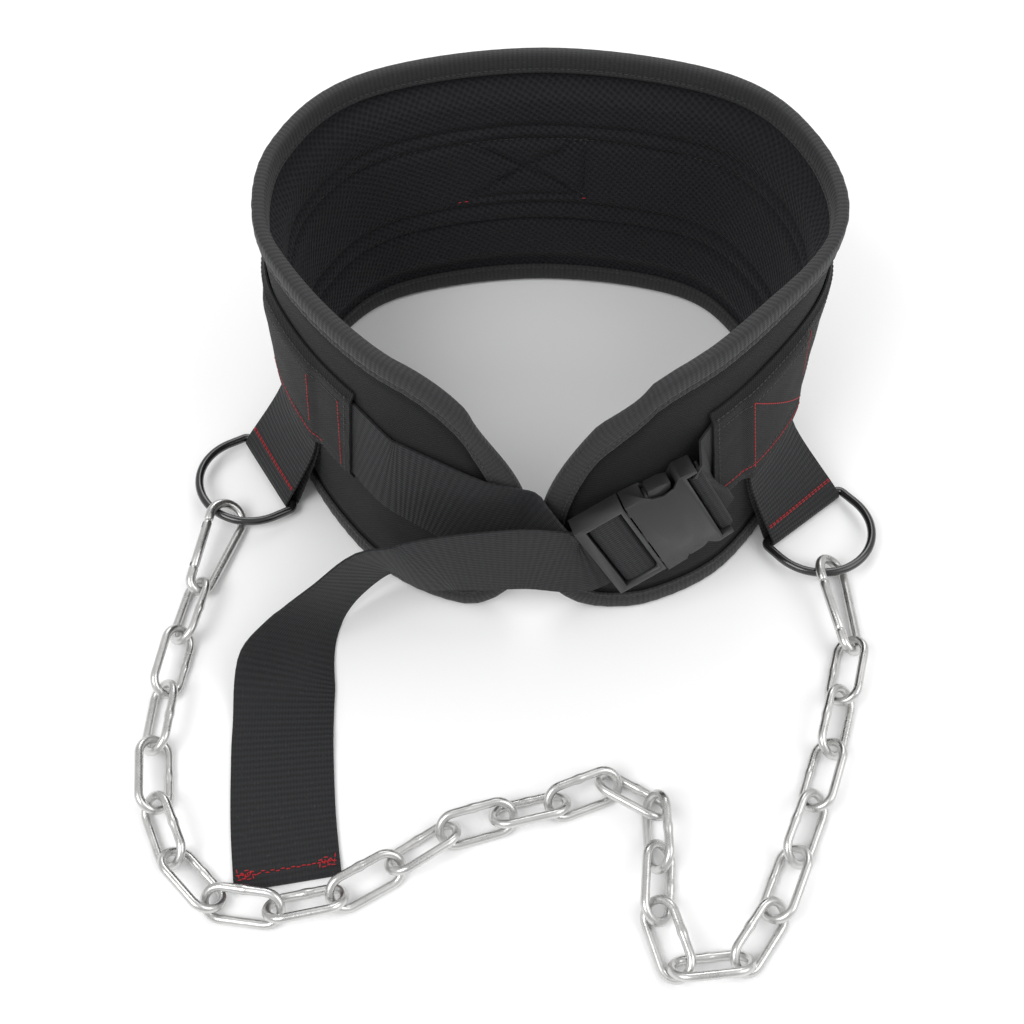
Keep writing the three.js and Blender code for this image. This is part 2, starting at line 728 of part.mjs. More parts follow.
function buckleTongue() {
  const halfWidth = BUCKLE_WIDTH / 2;
  const window = STRAP_WIDTH / 2 + STRAP_ROOM;
  const top = BUCKLE_DEPTH - 1.6;
  const endBarLow = lock.back + STRAP_THICKNESS / 2 + CLEARANCE + 0.5;
  const frame = block([0, -halfWidth, CLEARANCE], [LOCK_LENGTH, halfWidth, top])
    .subtract(block([END_BAR, -window, -1], [lock.plateStart, window, top + 1]))
    .subtract(block([-1, -window, -1], [END_BAR + 1, window, endBarLow]))
    .subtract(block([lock.plateStart - 1, -window, -1], [LOCK_LENGTH + 1, window, lock.barLow - 1.2]));
  const bar = block([lock.barStart, -window - 1, lock.barLow], [lock.barEnd, window + 1, lock.barHigh]);
  const armLow = socketWall + CLEARANCE + 0.5;
  const armHigh = BUCKLE_DEPTH - socketWall - CLEARANCE;
  const arm = (side) => prism(tongueArm().map(([x, y]) => [x, side * y]), armLow, armHigh);
  const guide = block([LOCK_LENGTH - 1, -4, armLow], [socket.slotStart - 9, 4, armHigh]);
  const tongue = frame.add(bar).add(arm(1)).add(arm(-1)).add(guide);
  return buckleMesh('buckle_tongue', tongue);
}

const socketWall = 1.8;
const SOCKET_END_LENGTH = 14;
const armReach = BUCKLE_LENGTH - LOCK_LENGTH - SOCKET_END_LENGTH;

// One springy arm of the tongue, seen from the front, on the side of +y.
function tongueArm() {
  const halfWidth = BUCKLE_WIDTH / 2;
  const tip = LOCK_LENGTH + armReach;
  return [
    [LOCK_LENGTH - 1, halfWidth - 10],
    [tip - 6, halfWidth - 7.5],
    [tip, halfWidth - 5],
    [tip + 1, halfWidth - 2],
    [tip - 3, halfWidth - 0.2],
    [tip - 10, halfWidth + 0.3],
    [tip - 11.5, halfWidth - 3.5],
    [LOCK_LENGTH - 1, halfWidth - 6],
  ];
}

// The socket's outline has a shallow scallop on each side where the arms are pressed.
function socketOutline() {
  const halfWidth = BUCKLE_WIDTH / 2;
  const tip = LOCK_LENGTH + armReach;
  const side = [
    [socket.start, halfWidth],
    [tip - 12.5, halfWidth - 0.8],
    [tip - 10, halfWidth - 4],
    [tip - 5, halfWidth - 6.2],
    [tip + 0.5, halfWidth - 5.2],
    [tip + 4, halfWidth - 1.4],
    [tip + 6, halfWidth - 0.4],
    [BUCKLE_LENGTH, halfWidth - 1.5],
  ];
  return [...side, ...side.map(([x, y]) => [x, -y]).reverse()];
}

function buckleSocket() {
  const halfWidth = BUCKLE_WIDTH / 2;
  const window = STRAP_WIDTH / 2 + STRAP_ROOM;
  const tip = LOCK_LENGTH + armReach;
  const cavityEnd = tip + 3;
  const shell = prism(socketOutline(), CLEARANCE, BUCKLE_DEPTH);
  const cavity = block(
    [socket.start - 1, -halfWidth + 1.6, socketWall],
    [cavityEnd, halfWidth - 1.6, BUCKLE_DEPTH - socketWall + 0.4],
  );
  const sideGap = (side) => block(
    [tip - 13, side > 0 ? halfWidth - 9 : -halfWidth - 2, socketWall],
    [cavityEnd, side > 0 ? halfWidth + 2 : -halfWidth + 9, BUCKLE_DEPTH - socketWall + 0.4],
  );
  const body = shell
    .subtract(cavity)
    .subtract(sideGap(1))
    .subtract(sideGap(-1))
    .subtract(block([socket.slotStart, -window, -1], [socket.barStart, window, BUCKLE_DEPTH + 1]))
    .subtract(block([socket.barStart - 1, -window, -1], [BUCKLE_LENGTH + 1, window, socket.barLow]))
    .subtract(block([socket.barStart - 1, -window, socket.barHigh], [BUCKLE_LENGTH + 1, window, BUCKLE_DEPTH + 1]));
  return buckleMesh('buckle_socket', body);
}

function buckleMesh(name, solid) {
  const mesh = finished(name, geometryOf(solid), FINISH.plastic);
  mesh.applyMatrix4(buckle);
  return mesh;
}

// D rings and the webbing tabs that hold them

const ringBarHeight = RING_WIRE / 2 + LAYER_GAP + STRAP_THICKNESS + 0.1;
const ringHalf = (RING_INSIDE + RING_WIRE) / 2;
const ringBow = RING_HEIGHT - RING_WIRE;
const hookMiddle = HOOK_WIRE / 2 + ((HOOK_WIDE - HOOK_WIRE) / 2) * Math.sin(HOOK_ROLL * RADIANS) + 0.1;

// The ring's centre line in its own plane: x along the bar, y towards the bow.
function ringOutline() {
  const shoulder = ringBow * 0.3;
  return [
    ...arcPoints(ringHalf - RING_CORNER, RING_CORNER, RING_CORNER, RING_CORNER, -90, 0, 2),
    ...arcPoints(0, shoulder, ringHalf, ringBow - shoulder, 0, 180, 12),
    ...arcPoints(-ringHalf + RING_CORNER, RING_CORNER, RING_CORNER, RING_CORNER, 180, 270, 2),
  ];
}

// Where a hook hangs on the bow, as a distance along the bar from the ring's middle.
function bowPoint(seat) {
  const shoulder = ringBow * 0.3;
  return shoulder + (ringBow - shoulder) * Math.sqrt(1 - (seat / ringHalf) ** 2);
}

function ringFrame(along, turn, seat) {
  const foot = onWall(along, 0, 0);
  const out = onWall(along, 0, 1).sub(foot).setZ(0).normalize();
  const bar = foot.addScaledVector(out, RING_STANDOFF).setZ(ringBarHeight);
  const bow = out.applyAxisAngle(UP, turn * RADIANS);
  const level = Math.sqrt(bowPoint(seat) ** 2 - (hookMiddle - ringBarHeight) ** 2);
  const slope = (hookMiddle - ringBarHeight) / level;
  const towards = bow.setZ(slope).normalize();
  const alongBar = towards.clone().cross(UP).normalize();
  const normal = alongBar.clone().cross(towards);
  return new THREE.Matrix4().makeBasis(alongBar, towards, normal).setPosition(bar);
}

const ringLeft = ringFrame(TAB_LEFT, RING_TURN_LEFT, HOOK_SEAT_LEFT);
const ringRight = ringFrame(girth - TAB_RIGHT, RING_TURN_RIGHT, HOOK_SEAT_RIGHT);

function dRing(name, frame) {
  const mesh = finished(name, wireRing(ringOutline(), RING_WIRE, 6), FINISH.gunmetal);
  mesh.applyMatrix4(frame);
  return mesh;
}

// A tab starts under the band, runs down the wall, goes round the ring's bar and back up behind itself.
function ringTab(name, middle, frame) {
  const half = STRAP_WIDTH / 2;
  const places = columnsBetween(middle - half, middle + half);
  const outerLayer = 2 * LAYER_GAP + STRAP_THICKNESS * 1.5;
  const innerLayer = LAYER_GAP + STRAP_THICKNESS / 2;
  const eye = RING_WIRE / 2 + LAYER_GAP + STRAP_THICKNESS / 2;
  const onFace = (up, out) => (offset, along) => onWall(along, up, out + offset);
  // Angles run round the bar from its top, over the side towards the bow, to its lower side.
  const onBar = (degrees) => (offset, along) => {
    const angle = degrees * RADIANS;
    const radius = eye + offset;
    const point = new THREE.Vector3(along - middle, radius * Math.sin(angle), radius * Math.cos(angle));
    return point.applyMatrix4(frame);
  };
  const stations = [
    onFace(TAB_TOP, outerLayer),
    onFace(TAB_LEAVES_WALL, outerLayer),
    ...[66, 100, 140, 180, 216, 250].map(onBar),
    onFace(TAB_LEAVES_WALL - 2, innerLayer),
    onFace(BAND_MIDDLE - STRAP_WIDTH / 2 - 3, innerLayer),
  ];
  const face = (offset) => stations.map((station) => places.map((along) => station(offset, along)));
  return finished(name, sheet(face(STRAP_THICKNESS / 2), face(-STRAP_THICKNESS / 2)), FINISH.webbing);
}

// Snap hooks, built flat: x from the ring's end to the chain's end, y towards the gate, z the hinge axis

const wideRadius = (HOOK_WIDE - HOOK_WIRE) / 2;
const narrowRadius = (HOOK_NARROW - HOOK_WIRE) / 2;
const wideCentre = HOOK_WIRE / 2 + wideRadius;
const narrowCentre = HOOK_LENGTH - HOOK_WIRE / 2 - narrowRadius;
const sideSlope = Math.asin((wideRadius - narrowRadius) / (narrowCentre - wideCentre));
const gateAngle = -sideSlope;
const gateTurn = new THREE.Matrix4().makeRotationZ(gateAngle);

// The gate's own frame starts where the straight side leaves the wide arc.
const gateOrigin = new THREE.Vector3(
  wideCentre + wideRadius * Math.sin(sideSlope),
  wideRadius * Math.cos(sideSlope),
  0,
);
const gateFrame = gateTurn.clone().setPosition(gateOrigin);
const straightSide = Math.sqrt((narrowCentre - wideCentre) ** 2 - (wideRadius - narrowRadius) ** 2);
const gateRadius = HOOK_WIRE / 2;

function hookPath() {
  const lean = sideSlope / RADIANS;
  const shoulder = new THREE.Vector3(GATE_START - gateRadius - CLEARANCE - 0.1, 0, 0).applyMatrix4(gateFrame);
  const nose = new THREE.Vector3(GATE_START + GATE_LENGTH + CLEARANCE + 0.1, 0, 0).applyMatrix4(gateFrame);
  const points = [
    shoulder,
    ...arcPoints(wideCentre, 0, wideRadius, wideRadius, 90 - lean, 270 + lean, 10),
    ...arcPoints(narrowCentre, 0, narrowRadius, narrowRadius, -90 + lean, 90 - lean, 7),
    nose,
  ];
  const path = new THREE.CurvePath();
  points.slice(1).forEach((point, i) => path.add(new THREE.LineCurve3(points[i], point)));
  return { points, path };
}

// Sections of an open wire at chosen points of a flat path, closed by flat ends.
function flatWire(points, diameter, sides) {
  const radius = diameter / 2;
  const rings = points.map((point, i) => {
    const before = points[Math.max(i - 1, 0)];
    const after = points[Math.min(i + 1, points.length - 1)];
    const run = after.clone().sub(before).normalize();
    const beside = new THREE.Vector3(-run.y, run.x, 0);
    return Array.from({ length: sides }, (_, k) => {
      const angle = ((k + 0.5) * 2 * Math.PI) / sides;
      return point.clone()
        .addScaledVector(beside, radius * Math.cos(angle))
        .addScaledVector(UP, radius * Math.sin(angle));
    });
  });
  const faces = [];
  const at = (i, k) => i * sides + (k % sides);
  for (let i = 0; i < rings.length - 1; i += 1) {
    for (let k = 0; k < sides; k += 1) {
      faces.push([at(i, k), at(i + 1, k), at(i + 1, k + 1)], [at(i, k), at(i + 1, k + 1), at(i, k + 1)]);
    }
  }
  const last = rings.length - 1;
  for (let k = 1; k < sides - 1; k += 1) {
    faces.push([at(0, 0), at(0, k), at(0, k + 1)], [at(last, 0), at(last, k + 1), at(last, k)]);
  }
  return closedMesh(rings.flat(), faces);
}

function hookBody(name, frame) {
  const { points } = hookPath();
  const wire = solidOf(flatWire(points, HOOK_WIRE, 6));
  const half = TONGUE_THICKNESS / 2;
  const tall = gateRadius * 0.7;
  const hole = solidOf(new THREE.CylinderGeometry(HINGE_PIN / 2 + 0.35, HINGE_PIN / 2 + 0.35, 4, 8)
    .rotateX(Math.PI / 2)
    .translate(GATE_START, 0, 0));
  const hingeTongue = block([-1, -tall, -half], [GATE_START + 2.2, tall, half]).subtract(hole);
  const gateEnd = GATE_START + GATE_LENGTH;
  const noseTongue = block([gateEnd - 1.6, -tall, -half], [gateEnd + 2.5, tall, half]);
  const tongues = hingeTongue.add(noseTongue).transform(gateFrame.elements);
  const mesh = finished(name, geometryOf(wire.add(tongues)), FINISH.zinc);
  mesh.applyMatrix4(frame);
  return mesh;
}

function hookGate(name, frame) {
  const profile = [
    new THREE.Vector2(0, -gateRadius),
    new THREE.Vector2(gateRadius * 0.72, -gateRadius * 0.69),
    new THREE.Vector2(gateRadius, 0),
    new THREE.Vector2(gateRadius, GATE_LENGTH - 0.8),
    new THREE.Vector2(gateRadius * 0.75, GATE_LENGTH),
    new THREE.Vector2(0, GATE_LENGTH),
  ];
  const rod = solidOf(new THREE.LatheGeometry(profile, 8).rotateZ(-Math.PI / 2));
  const half = TONGUE_THICKNESS / 2 + CLEARANCE;
  const slot = (from, to) => block([from, -HOOK_WIRE, -half], [to, HOOK_WIRE, half]);
  const pinLength = HOOK_WIRE * 0.84;
  const pin = solidOf(new THREE.CylinderGeometry(HINGE_PIN / 2, HINGE_PIN / 2, pinLength, 8).rotateX(Math.PI / 2));
  const gate = rod
    .subtract(slot(-gateRadius - 1, 3.2))
    .subtract(slot(GATE_LENGTH - 2.4, GATE_LENGTH + 1))
    .add(pin);
  const mesh = finished(name, geometryOf(gate), FINISH.zinc);
  mesh.applyMatrix4(new THREE.Matrix4().makeTranslation(GATE_START, 0, 0));
  mesh.applyMatrix4(gateFrame);
  mesh.applyMatrix4(frame);
  return mesh;
}

// A hook lies rolled over its spine, with the ring's bow passing through its wide end.
function hookFrame(ring, seat, heading) {
  const hold = new THREE.Vector3(seat, bowPoint(seat), 0).applyMatrix4(ring);
  const roll = HOOK_ROLL * RADIANS;
  const seatDepth = HOOK_WIRE + RING_WIRE / 2 + HOOK_PLAY;
  const reach = HOOK_LENGTH - HOOK_WIRE / 2 - LINK_SLACK - seatDepth;
  const slope = (linkHeight - hold.z) / reach;
  const along = new THREE.Vector3(Math.cos(heading * RADIANS), Math.sin(heading * RADIANS), slope).normalize();
  const right = along.clone().cross(UP).normalize();
  const level = right.clone().cross(along);
  const across = right.clone().multiplyScalar(Math.cos(roll)).addScaledVector(level, Math.sin(roll));
  const normal = along.clone().cross(across);
  return new THREE.Matrix4().makeBasis(along, across, normal)
    .setPosition(hold.addScaledVector(along, -seatDepth));
}

const hookLeft = hookFrame(ringLeft, HOOK_SEAT_LEFT, HOOK_HEADING_LEFT);
const hookRight = hookFrame(ringRight, HOOK_SEAT_RIGHT, HOOK_HEADING_RIGHT);

// Chain

function hookJoint(frame) {
  return new THREE.Vector3(HOOK_LENGTH - HOOK_WIRE / 2 - LINK_SLACK, 0, 0).applyMatrix4(frame);
}

function chainJoints() {
  const chosen = [
    { joint: 0, place: hookJoint(hookLeft) },
    ...CHAIN_ROUTE.map(({ joint, x, y }) => ({ joint, place: new THREE.Vector3(x, y, linkHeight) })),
    { joint: LINK_COUNT, place: hookJoint(hookRight) },
  ];
  const curve = new THREE.CatmullRomCurve3(chosen.map((row) => row.place), false, 'centripetal');
  return Array.from({ length: LINK_COUNT + 1 }, (_, joint) => {
    const next = chosen.findIndex((row) => row.joint >= joint);
    if (chosen[next].joint === joint) {
      return chosen[next].place;
    }
    const [before, after] = [chosen[next - 1].place, chosen[next].place];
    const middle = before.clone().lerp(after, 0.5);
    const chord = after.clone().sub(before).normalize();
    const bulge = curve.getPoint((next - 0.5) / (chosen.length - 1)).sub(middle);
    return middle.add(bulge.addScaledVector(chord, -bulge.dot(chord)));
  });
}

function linkOutline() {
  const radius = (LINK_WIDTH - LINK_WIRE) / 2;
  const straight = (LINK_LENGTH - LINK_WIRE) / 2 - radius;
  return [
    ...arcPoints(straight, 0, radius, radius, -90, 90, 5),
    ...arcPoints(-straight, 0, radius, radius, 90, 270, 5),
  ];
}

// A link lies level between its two joints, rolled about its length and touching the floor.
function linkFrame(number, from, to) {
  const listed = LINK_ROLLS.find((row) => row.link === number);
  const roll = (listed ? listed.roll : LINK_ROLL * (number % 2 === 1 ? 1 : -1)) * RADIANS;
  const along = to.clone().sub(from).setZ(0).normalize();
  const side = UP.clone().cross(along);
  const across = side.multiplyScalar(Math.cos(roll)).setZ(Math.sin(roll));
  const centre = from.clone().add(to).multiplyScalar(0.5);
  centre.z = LINK_WIRE / 2 + ((LINK_WIDTH - LINK_WIRE) / 2) * Math.abs(Math.sin(roll));
  return new THREE.Matrix4().makeBasis(along, across, along.clone().cross(across)).setPosition(centre);
}

function chainLink(number, from, to) {
  const name = `chain_link_${String(number).padStart(2, '0')}`;
  const mesh = finished(name, wireRing(linkOutline(), LINK_WIRE, 6), FINISH.zinc);
  mesh.applyMatrix4(linkFrame(number, from, to));
  return mesh;
}

function chain() {
  const joints = chainJoints();
  return joints.slice(1).map((joint, i) => chainLink(i + 1, joints[i], joint));
}

// Assembly: the origin is on the floor below the middle of everything.

const belt = new THREE.Group();
belt.add(
  beltShell(),
  beltLining(),
  edgeBinding(),
  outerBand(),
  waistStrapLeft(),
  waistStrapRight(),
  buckleTongue(),
  buckleSocket(),
  ringTab('ring_tab_left', TAB_LEFT, ringLeft),
  ringTab('ring_tab_right', girth - TAB_RIGHT, ringRight),
  dRing('d_ring_left', ringLeft),
  dRing('d_ring_right', ringRight),
  hookBody('hook_body_left', hookLeft),
  hookGate('hook_gate_left', hookLeft),
  hookBody('hook_body_right', hookRight),
  hookGate('hook_gate_right', hookRight),
  ...chain(),
);

const bounds = new THREE.Box3().setFromObject(belt, true);
const middle = bounds.getCenter(new THREE.Vector3());
belt.position.set(-middle.x, -middle.y, -bounds.min.z);

export default belt;
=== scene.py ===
"""A padded dip belt with its strap, buckle, D rings, snap hooks and chain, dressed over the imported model.

Lengths are millimetres in the belt's own frame (x to the right, y to the back, z up) until a mesh
is made, where Frame.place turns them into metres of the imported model.
"""

import json
import logging
import math
from collections.abc import Sequence
from dataclasses import dataclass, field
from enum import Enum

import bmesh
import bpy
import numpy as np
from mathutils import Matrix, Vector

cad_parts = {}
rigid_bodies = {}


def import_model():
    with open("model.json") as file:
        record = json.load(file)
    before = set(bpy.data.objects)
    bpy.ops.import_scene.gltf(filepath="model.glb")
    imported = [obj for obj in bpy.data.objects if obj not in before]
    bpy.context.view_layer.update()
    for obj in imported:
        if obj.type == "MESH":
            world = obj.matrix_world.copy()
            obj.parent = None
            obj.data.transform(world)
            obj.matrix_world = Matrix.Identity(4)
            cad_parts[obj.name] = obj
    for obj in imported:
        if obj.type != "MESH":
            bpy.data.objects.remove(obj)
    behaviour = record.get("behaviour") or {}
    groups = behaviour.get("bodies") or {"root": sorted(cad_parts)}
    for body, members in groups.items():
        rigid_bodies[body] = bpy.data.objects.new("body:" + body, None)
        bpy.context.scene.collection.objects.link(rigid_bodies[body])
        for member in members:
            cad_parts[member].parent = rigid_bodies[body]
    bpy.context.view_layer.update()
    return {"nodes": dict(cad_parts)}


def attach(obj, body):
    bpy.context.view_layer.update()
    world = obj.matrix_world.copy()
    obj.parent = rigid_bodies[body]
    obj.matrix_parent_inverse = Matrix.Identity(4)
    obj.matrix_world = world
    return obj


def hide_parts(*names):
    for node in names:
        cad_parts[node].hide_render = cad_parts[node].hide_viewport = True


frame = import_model()

logging.basicConfig(level=logging.INFO, format="%(levelname)s %(message)s")
LOG = logging.getLogger("dip_belt")

MM = 0.001
SHIFT = np.array([8.672, 84.450, 0.0])
STRAP_WIDTH = 50.0
STRAP_THICKNESS = 1.4
LAYER_GAP = 0.5
CLEARANCE = 0.3
ROOT = "belt"
WALL_SAMPLES = 3201
MAX_CUT = 24
SENSOR_WIDTH = 36.0

# Plan of the wall's foot from the left tip round the back to the right tip: shares of the belt's
# half width and half depth, and how far the top leans outward as a share of the height.
WALL_STATIONS = (
    (-0.051, -0.957, -0.173), (-0.301, -0.966, -0.167), (-0.574, -0.821, -0.147),
    (-0.794, -0.547, -0.113), (-0.956, -0.214, -0.067), (-1.0, 0.128, 0.013),
    (-0.919, 0.53, 0.067), (-0.625, 0.863, 0.113), (0.0, 1.0, 0.133),
    (0.625, 0.88, 0.113), (0.897, 0.581, 0.1), (1.007, 0.128, 0.053),
    (0.963, -0.342, -0.133), (0.721, -0.761, -0.207), (0.426, -0.957, -0.187),
    (0.184, -0.983, -0.173), (-0.007, -0.974, -0.173),
)

# Left run of the strap in front of the band: distance from the tip, height as a share of the
# band's middle height, and how many strap thicknesses it stands out.
FRONT_RUN = (
    (80.0, 0.925, 0.93), (66.4, 0.92, 1.0), (52.8, 0.905, 1.15), (38.4, 0.865, 1.5),
    (27.2, 0.82, 1.85), (17.6, 0.775, 2.15), (10.4, 0.735, 2.35), (4.8, 0.7, 2.5),
)

# Free end of the strap from the buckle to the floor: shares of its reach to the side and front,
# height in strap widths, then the rise and heading in degrees of the line across it.
FREE_END = (
    (0.09, 0.462, 1.15, 86, 90), (0.412, 0.466, 1.09, 90, 180), (0.53, 0.462, 0.98, 84, 250),
    (0.68, 0.445, 0.92, 69, 236), (0.84, 0.466, 0.66, 58, 226), (0.99, 0.52, 0.39, 37, 214),
    (1.075, 0.6, 0.11, 9, 203), (1.08, 0.7, 0.016, 0, 189), (1.065, 0.79, 0.016, 0, 182),
    (1.04, 0.89, 0.016, 0, 178), (1.0, 1.0, 0.016, 0, 180),
)
FREE_END_SIDE = 119.0
FREE_END_FRONT = 261.0

# Where the chain's links meet on the floor, from the left hook to the right one.
CHAIN_JOINTS = (
    (-178.73, -106.72), (-184.12, -136.24), (-188.0, -166.0), (-189.23, -195.64), (-185.0, -225.0),
    (-172.47, -250.85), (-152.0, -271.0), (-123.33, -274.72), (-95.0, -269.0), (-69.1, -254.16),
    (-44.0, -238.0), (-19.16, -230.87), (6.0, -225.0), (32.0, -215.0), (53.0, -227.0),
    (53.35, -250.56), (51.0, -274.0), (59.0, -301.0), (88.0, -298.0), (104.91, -275.46),
    (117.0, -250.0), (129.26, -223.83), (140.0, -197.0), (149.3, -169.36), (157.92, -141.51),
)
LINK_ROLLS = {2: -52.0, 15: 58.0, 17: 35.0, 18: -50.0}

# Lines of stitching on the belt's outside: distance from the left tip and height of both ends.
LEFT_RED_LINES = ((112.0, 62.0, 114.0, 106.0), (130.0, 62.0, 187.0, 65.0), (137.5, 72.0, 137.5, 105.0))
RIGHT_RED_LINES = (
    (686.0, 62.0, 686.0, 107.0), (629.0, 57.0, 628.0, 107.0), (708.0, 65.0, 628.0, 58.5),
    (684.0, 106.0, 630.0, 60.0),
)
# How far above a ring's bar each row of the tab's bar tack is sewn.
TACK_ROWS = (11.0, 12.2)
# Seams that show on the inside: two pairs where the band is sewn through the belt.
INSIDE_SEAMS = (46.5, 58.5, 101.0, 110.0)
SEAM_START, SEAM_END = 108.0, 712.0
# The sewn box at the middle of the back: both ends along the wall, then both heights.
BACK_BOX = (357.0, 423.0, 65.0, 102.0)


def smoothstep(value: np.ndarray, low: float, high: float) -> np.ndarray:
    """Eased share of the way from low to high."""
    share = np.clip((value - low) / (high - low), 0.0, 1.0)
    return share * share * (3 - 2 * share)


def hill(value: np.ndarray, top: float, width: float) -> np.ndarray:
    """A smooth bump of height 1 round a value."""
    return np.exp(-(((value - top) / width) ** 2))


def unit(rows: np.ndarray) -> np.ndarray:
    """Rows scaled to length 1."""
    return rows / np.linalg.norm(rows, axis=1)[:, None]


def steps_of(line: np.ndarray) -> np.ndarray:
    """Length of each step of a line of points."""
    return np.linalg.norm(np.diff(line, axis=0), axis=1)


def run_along(line: np.ndarray) -> np.ndarray:
    """Distance along a line at each of its points."""
    return np.concatenate([[0.0], np.cumsum(steps_of(line))])


def ripple(first: np.ndarray, second: np.ndarray, pitch: float) -> np.ndarray:
    """Soft irregular waves between -1 and 1.

    Args:
        first: Place along the cloth.
        second: Place across the cloth.
        pitch: Rough distance between two crests.

    Returns:
        The wave's height at each place.
    """
    a, b = first * 2 * math.pi / pitch, second * 2 * math.pi / pitch
    bent = np.sin(a + 1.3 * np.sin(b * 0.7))
    return (bent + np.sin(0.61 * a - 1.17 * b + 2.1) + np.sin(1.7 * b + 0.43 * a + 0.5)) / 3


def catmull_rom(points: np.ndarray, at: np.ndarray) -> np.ndarray:
    """Uniform Catmull-Rom curve.

    Args:
        points: Rows of control points.
        at: Parameters from 0 to 1.

    Returns:
        A row for each parameter.
    """
    padded = np.vstack([2 * points[0] - points[1], points, 2 * points[-1] - points[-2]])
    place = np.clip(at, 0, 1) * (len(points) - 1)
    index = np.minimum(place.astype(int), len(points) - 2)
    w = (place - index)[:, None]
    p0, p1, p2, p3 = (padded[index + k] for k in range(4))
    t1, t2 = (p2 - p0) / 2, (p3 - p1) / 2
    return p1 + w * (t1 + w * ((3 * (p2 - p1) - 2 * t1 - t2) + w * (2 * (p1 - p2) + t1 + t2)))


def bend_through(points: np.ndarray, counts: Sequence[int]) -> np.ndarray:
    """A smooth path through points that doesn't overshoot at tight bends.

    Args:
        points: Rows of points, of any number of columns; the first three give the distance.
        counts: How many steps each stretch is cut into.

    Returns:
        The denser rows.
    """
    padded = np.vstack([2 * points[0] - points[1], points, 2 * points[-1] - points[-2]])
    rows = []
    for i, count in enumerate(counts):
        p0, p1, p2, p3 = padded[i : i + 4]
        d1, d2, d3 = (max(np.linalg.norm((b - a)[:3]), 1e-6) ** 0.5 for a, b in ((p0, p1), (p1, p2), (p2, p3)))
        t1 = ((p1 - p0) / d1 - (p2 - p0) / (d1 + d2) + (p2 - p1) / d2) * d2
        t2 = ((p2 - p1) / d2 - (p3 - p1) / (d2 + d3) + (p3 - p2) / d3) * d2
        w = (np.arange(count) / count)[:, None]
        rows.append(p1 + w * (t1 + w * ((3 * (p2 - p1) - 2 * t1 - t2) + w * (2 * (p1 - p2) + t1 + t2))))
    return np.vstack([*rows, points[-1:]])


class Frame:
    """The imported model's frame."""

    @staticmethod
    def place(points: np.ndarray) -> np.ndarray:
        """Millimetres of the belt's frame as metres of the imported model."""
        return (np.asarray(points, float) + SHIFT) * MM

    @staticmethod
    def matrix(position: Sequence[float], ahead: Sequence[float], across: Sequence[float]) -> np.ndarray:
        """A piece's frame.

        Args:
            position: Its origin.
            ahead: Its x axis.
            across: Its y axis.

        Returns:
            A 4 by 4 matrix.
        """
        turned = np.eye(4)
        turned[:3, 0], turned[:3, 1] = ahead, across
        turned[:3, 2] = np.cross(ahead, across)
        turned[:3, 3] = position
        return turned

    @staticmethod
    def carry(matrix: np.ndarray, points: np.ndarray) -> np.ndarray:
        """Points of a piece's own frame in the belt's frame."""
        points = np.asarray(points, float)
        return points @ matrix[:3, :3].T + matrix[:3, 3]


class Wall:
    """The belt's curved wall: a foot line with a leaning face."""

    def __init__(self, half_width: float = 136.0, half_depth: float = 117.0, foot: float = 2.1) -> None:
        """Measures the wall's foot line.

        Args:
            half_width: Half of its width.
            half_depth: Half of its depth.
            foot: Height of its lower edge.
        """
        table = np.array(WALL_STATIONS)
        plan = table[:, :2] * (half_width, half_depth)
        at = np.linspace(0, 1, WALL_SAMPLES)
        line = catmull_rom(plan, at)
        self.run = run_along(line)
        self.girth = float(self.run[-1])
        self.line = line
        self.foot = foot
        self.ahead = unit(np.gradient(line, axis=0))
        self.lean = catmull_rom(table[:, 2:], at)[:, 0]

    def point(self, along: np.ndarray, up: np.ndarray, out: np.ndarray) -> np.ndarray:
        """Points on or off the wall.

        Args:
            along: Distance along the foot from the left tip.
            up: Height along the face.
            out: Distance outward from the face.

        Returns:
            Points in the belt's frame, one for each place.
        """
        along, up, out = np.broadcast_arrays(*(np.asarray(v, float) for v in (along, up, out)))
        held = np.clip(along, 0, self.girth)
        pick = lambda values: np.interp(held, self.run, values)
        ax, ay, lean = pick(self.ahead[:, 0]), pick(self.ahead[:, 1]), pick(self.lean)
        size = np.hypot(ax, ay)
        ax, ay = ax / size, ay / size
        shrink = 1 / np.hypot(1, lean)
        past = along - held
        flat = up * lean * shrink + out * shrink
        x = pick(self.line[:, 0]) + ax * past - ay * flat
        y = pick(self.line[:, 1]) + ay * past + ax * flat
        z = self.foot + up * shrink - out * lean * shrink
        return np.stack([x, y, z], axis=-1)


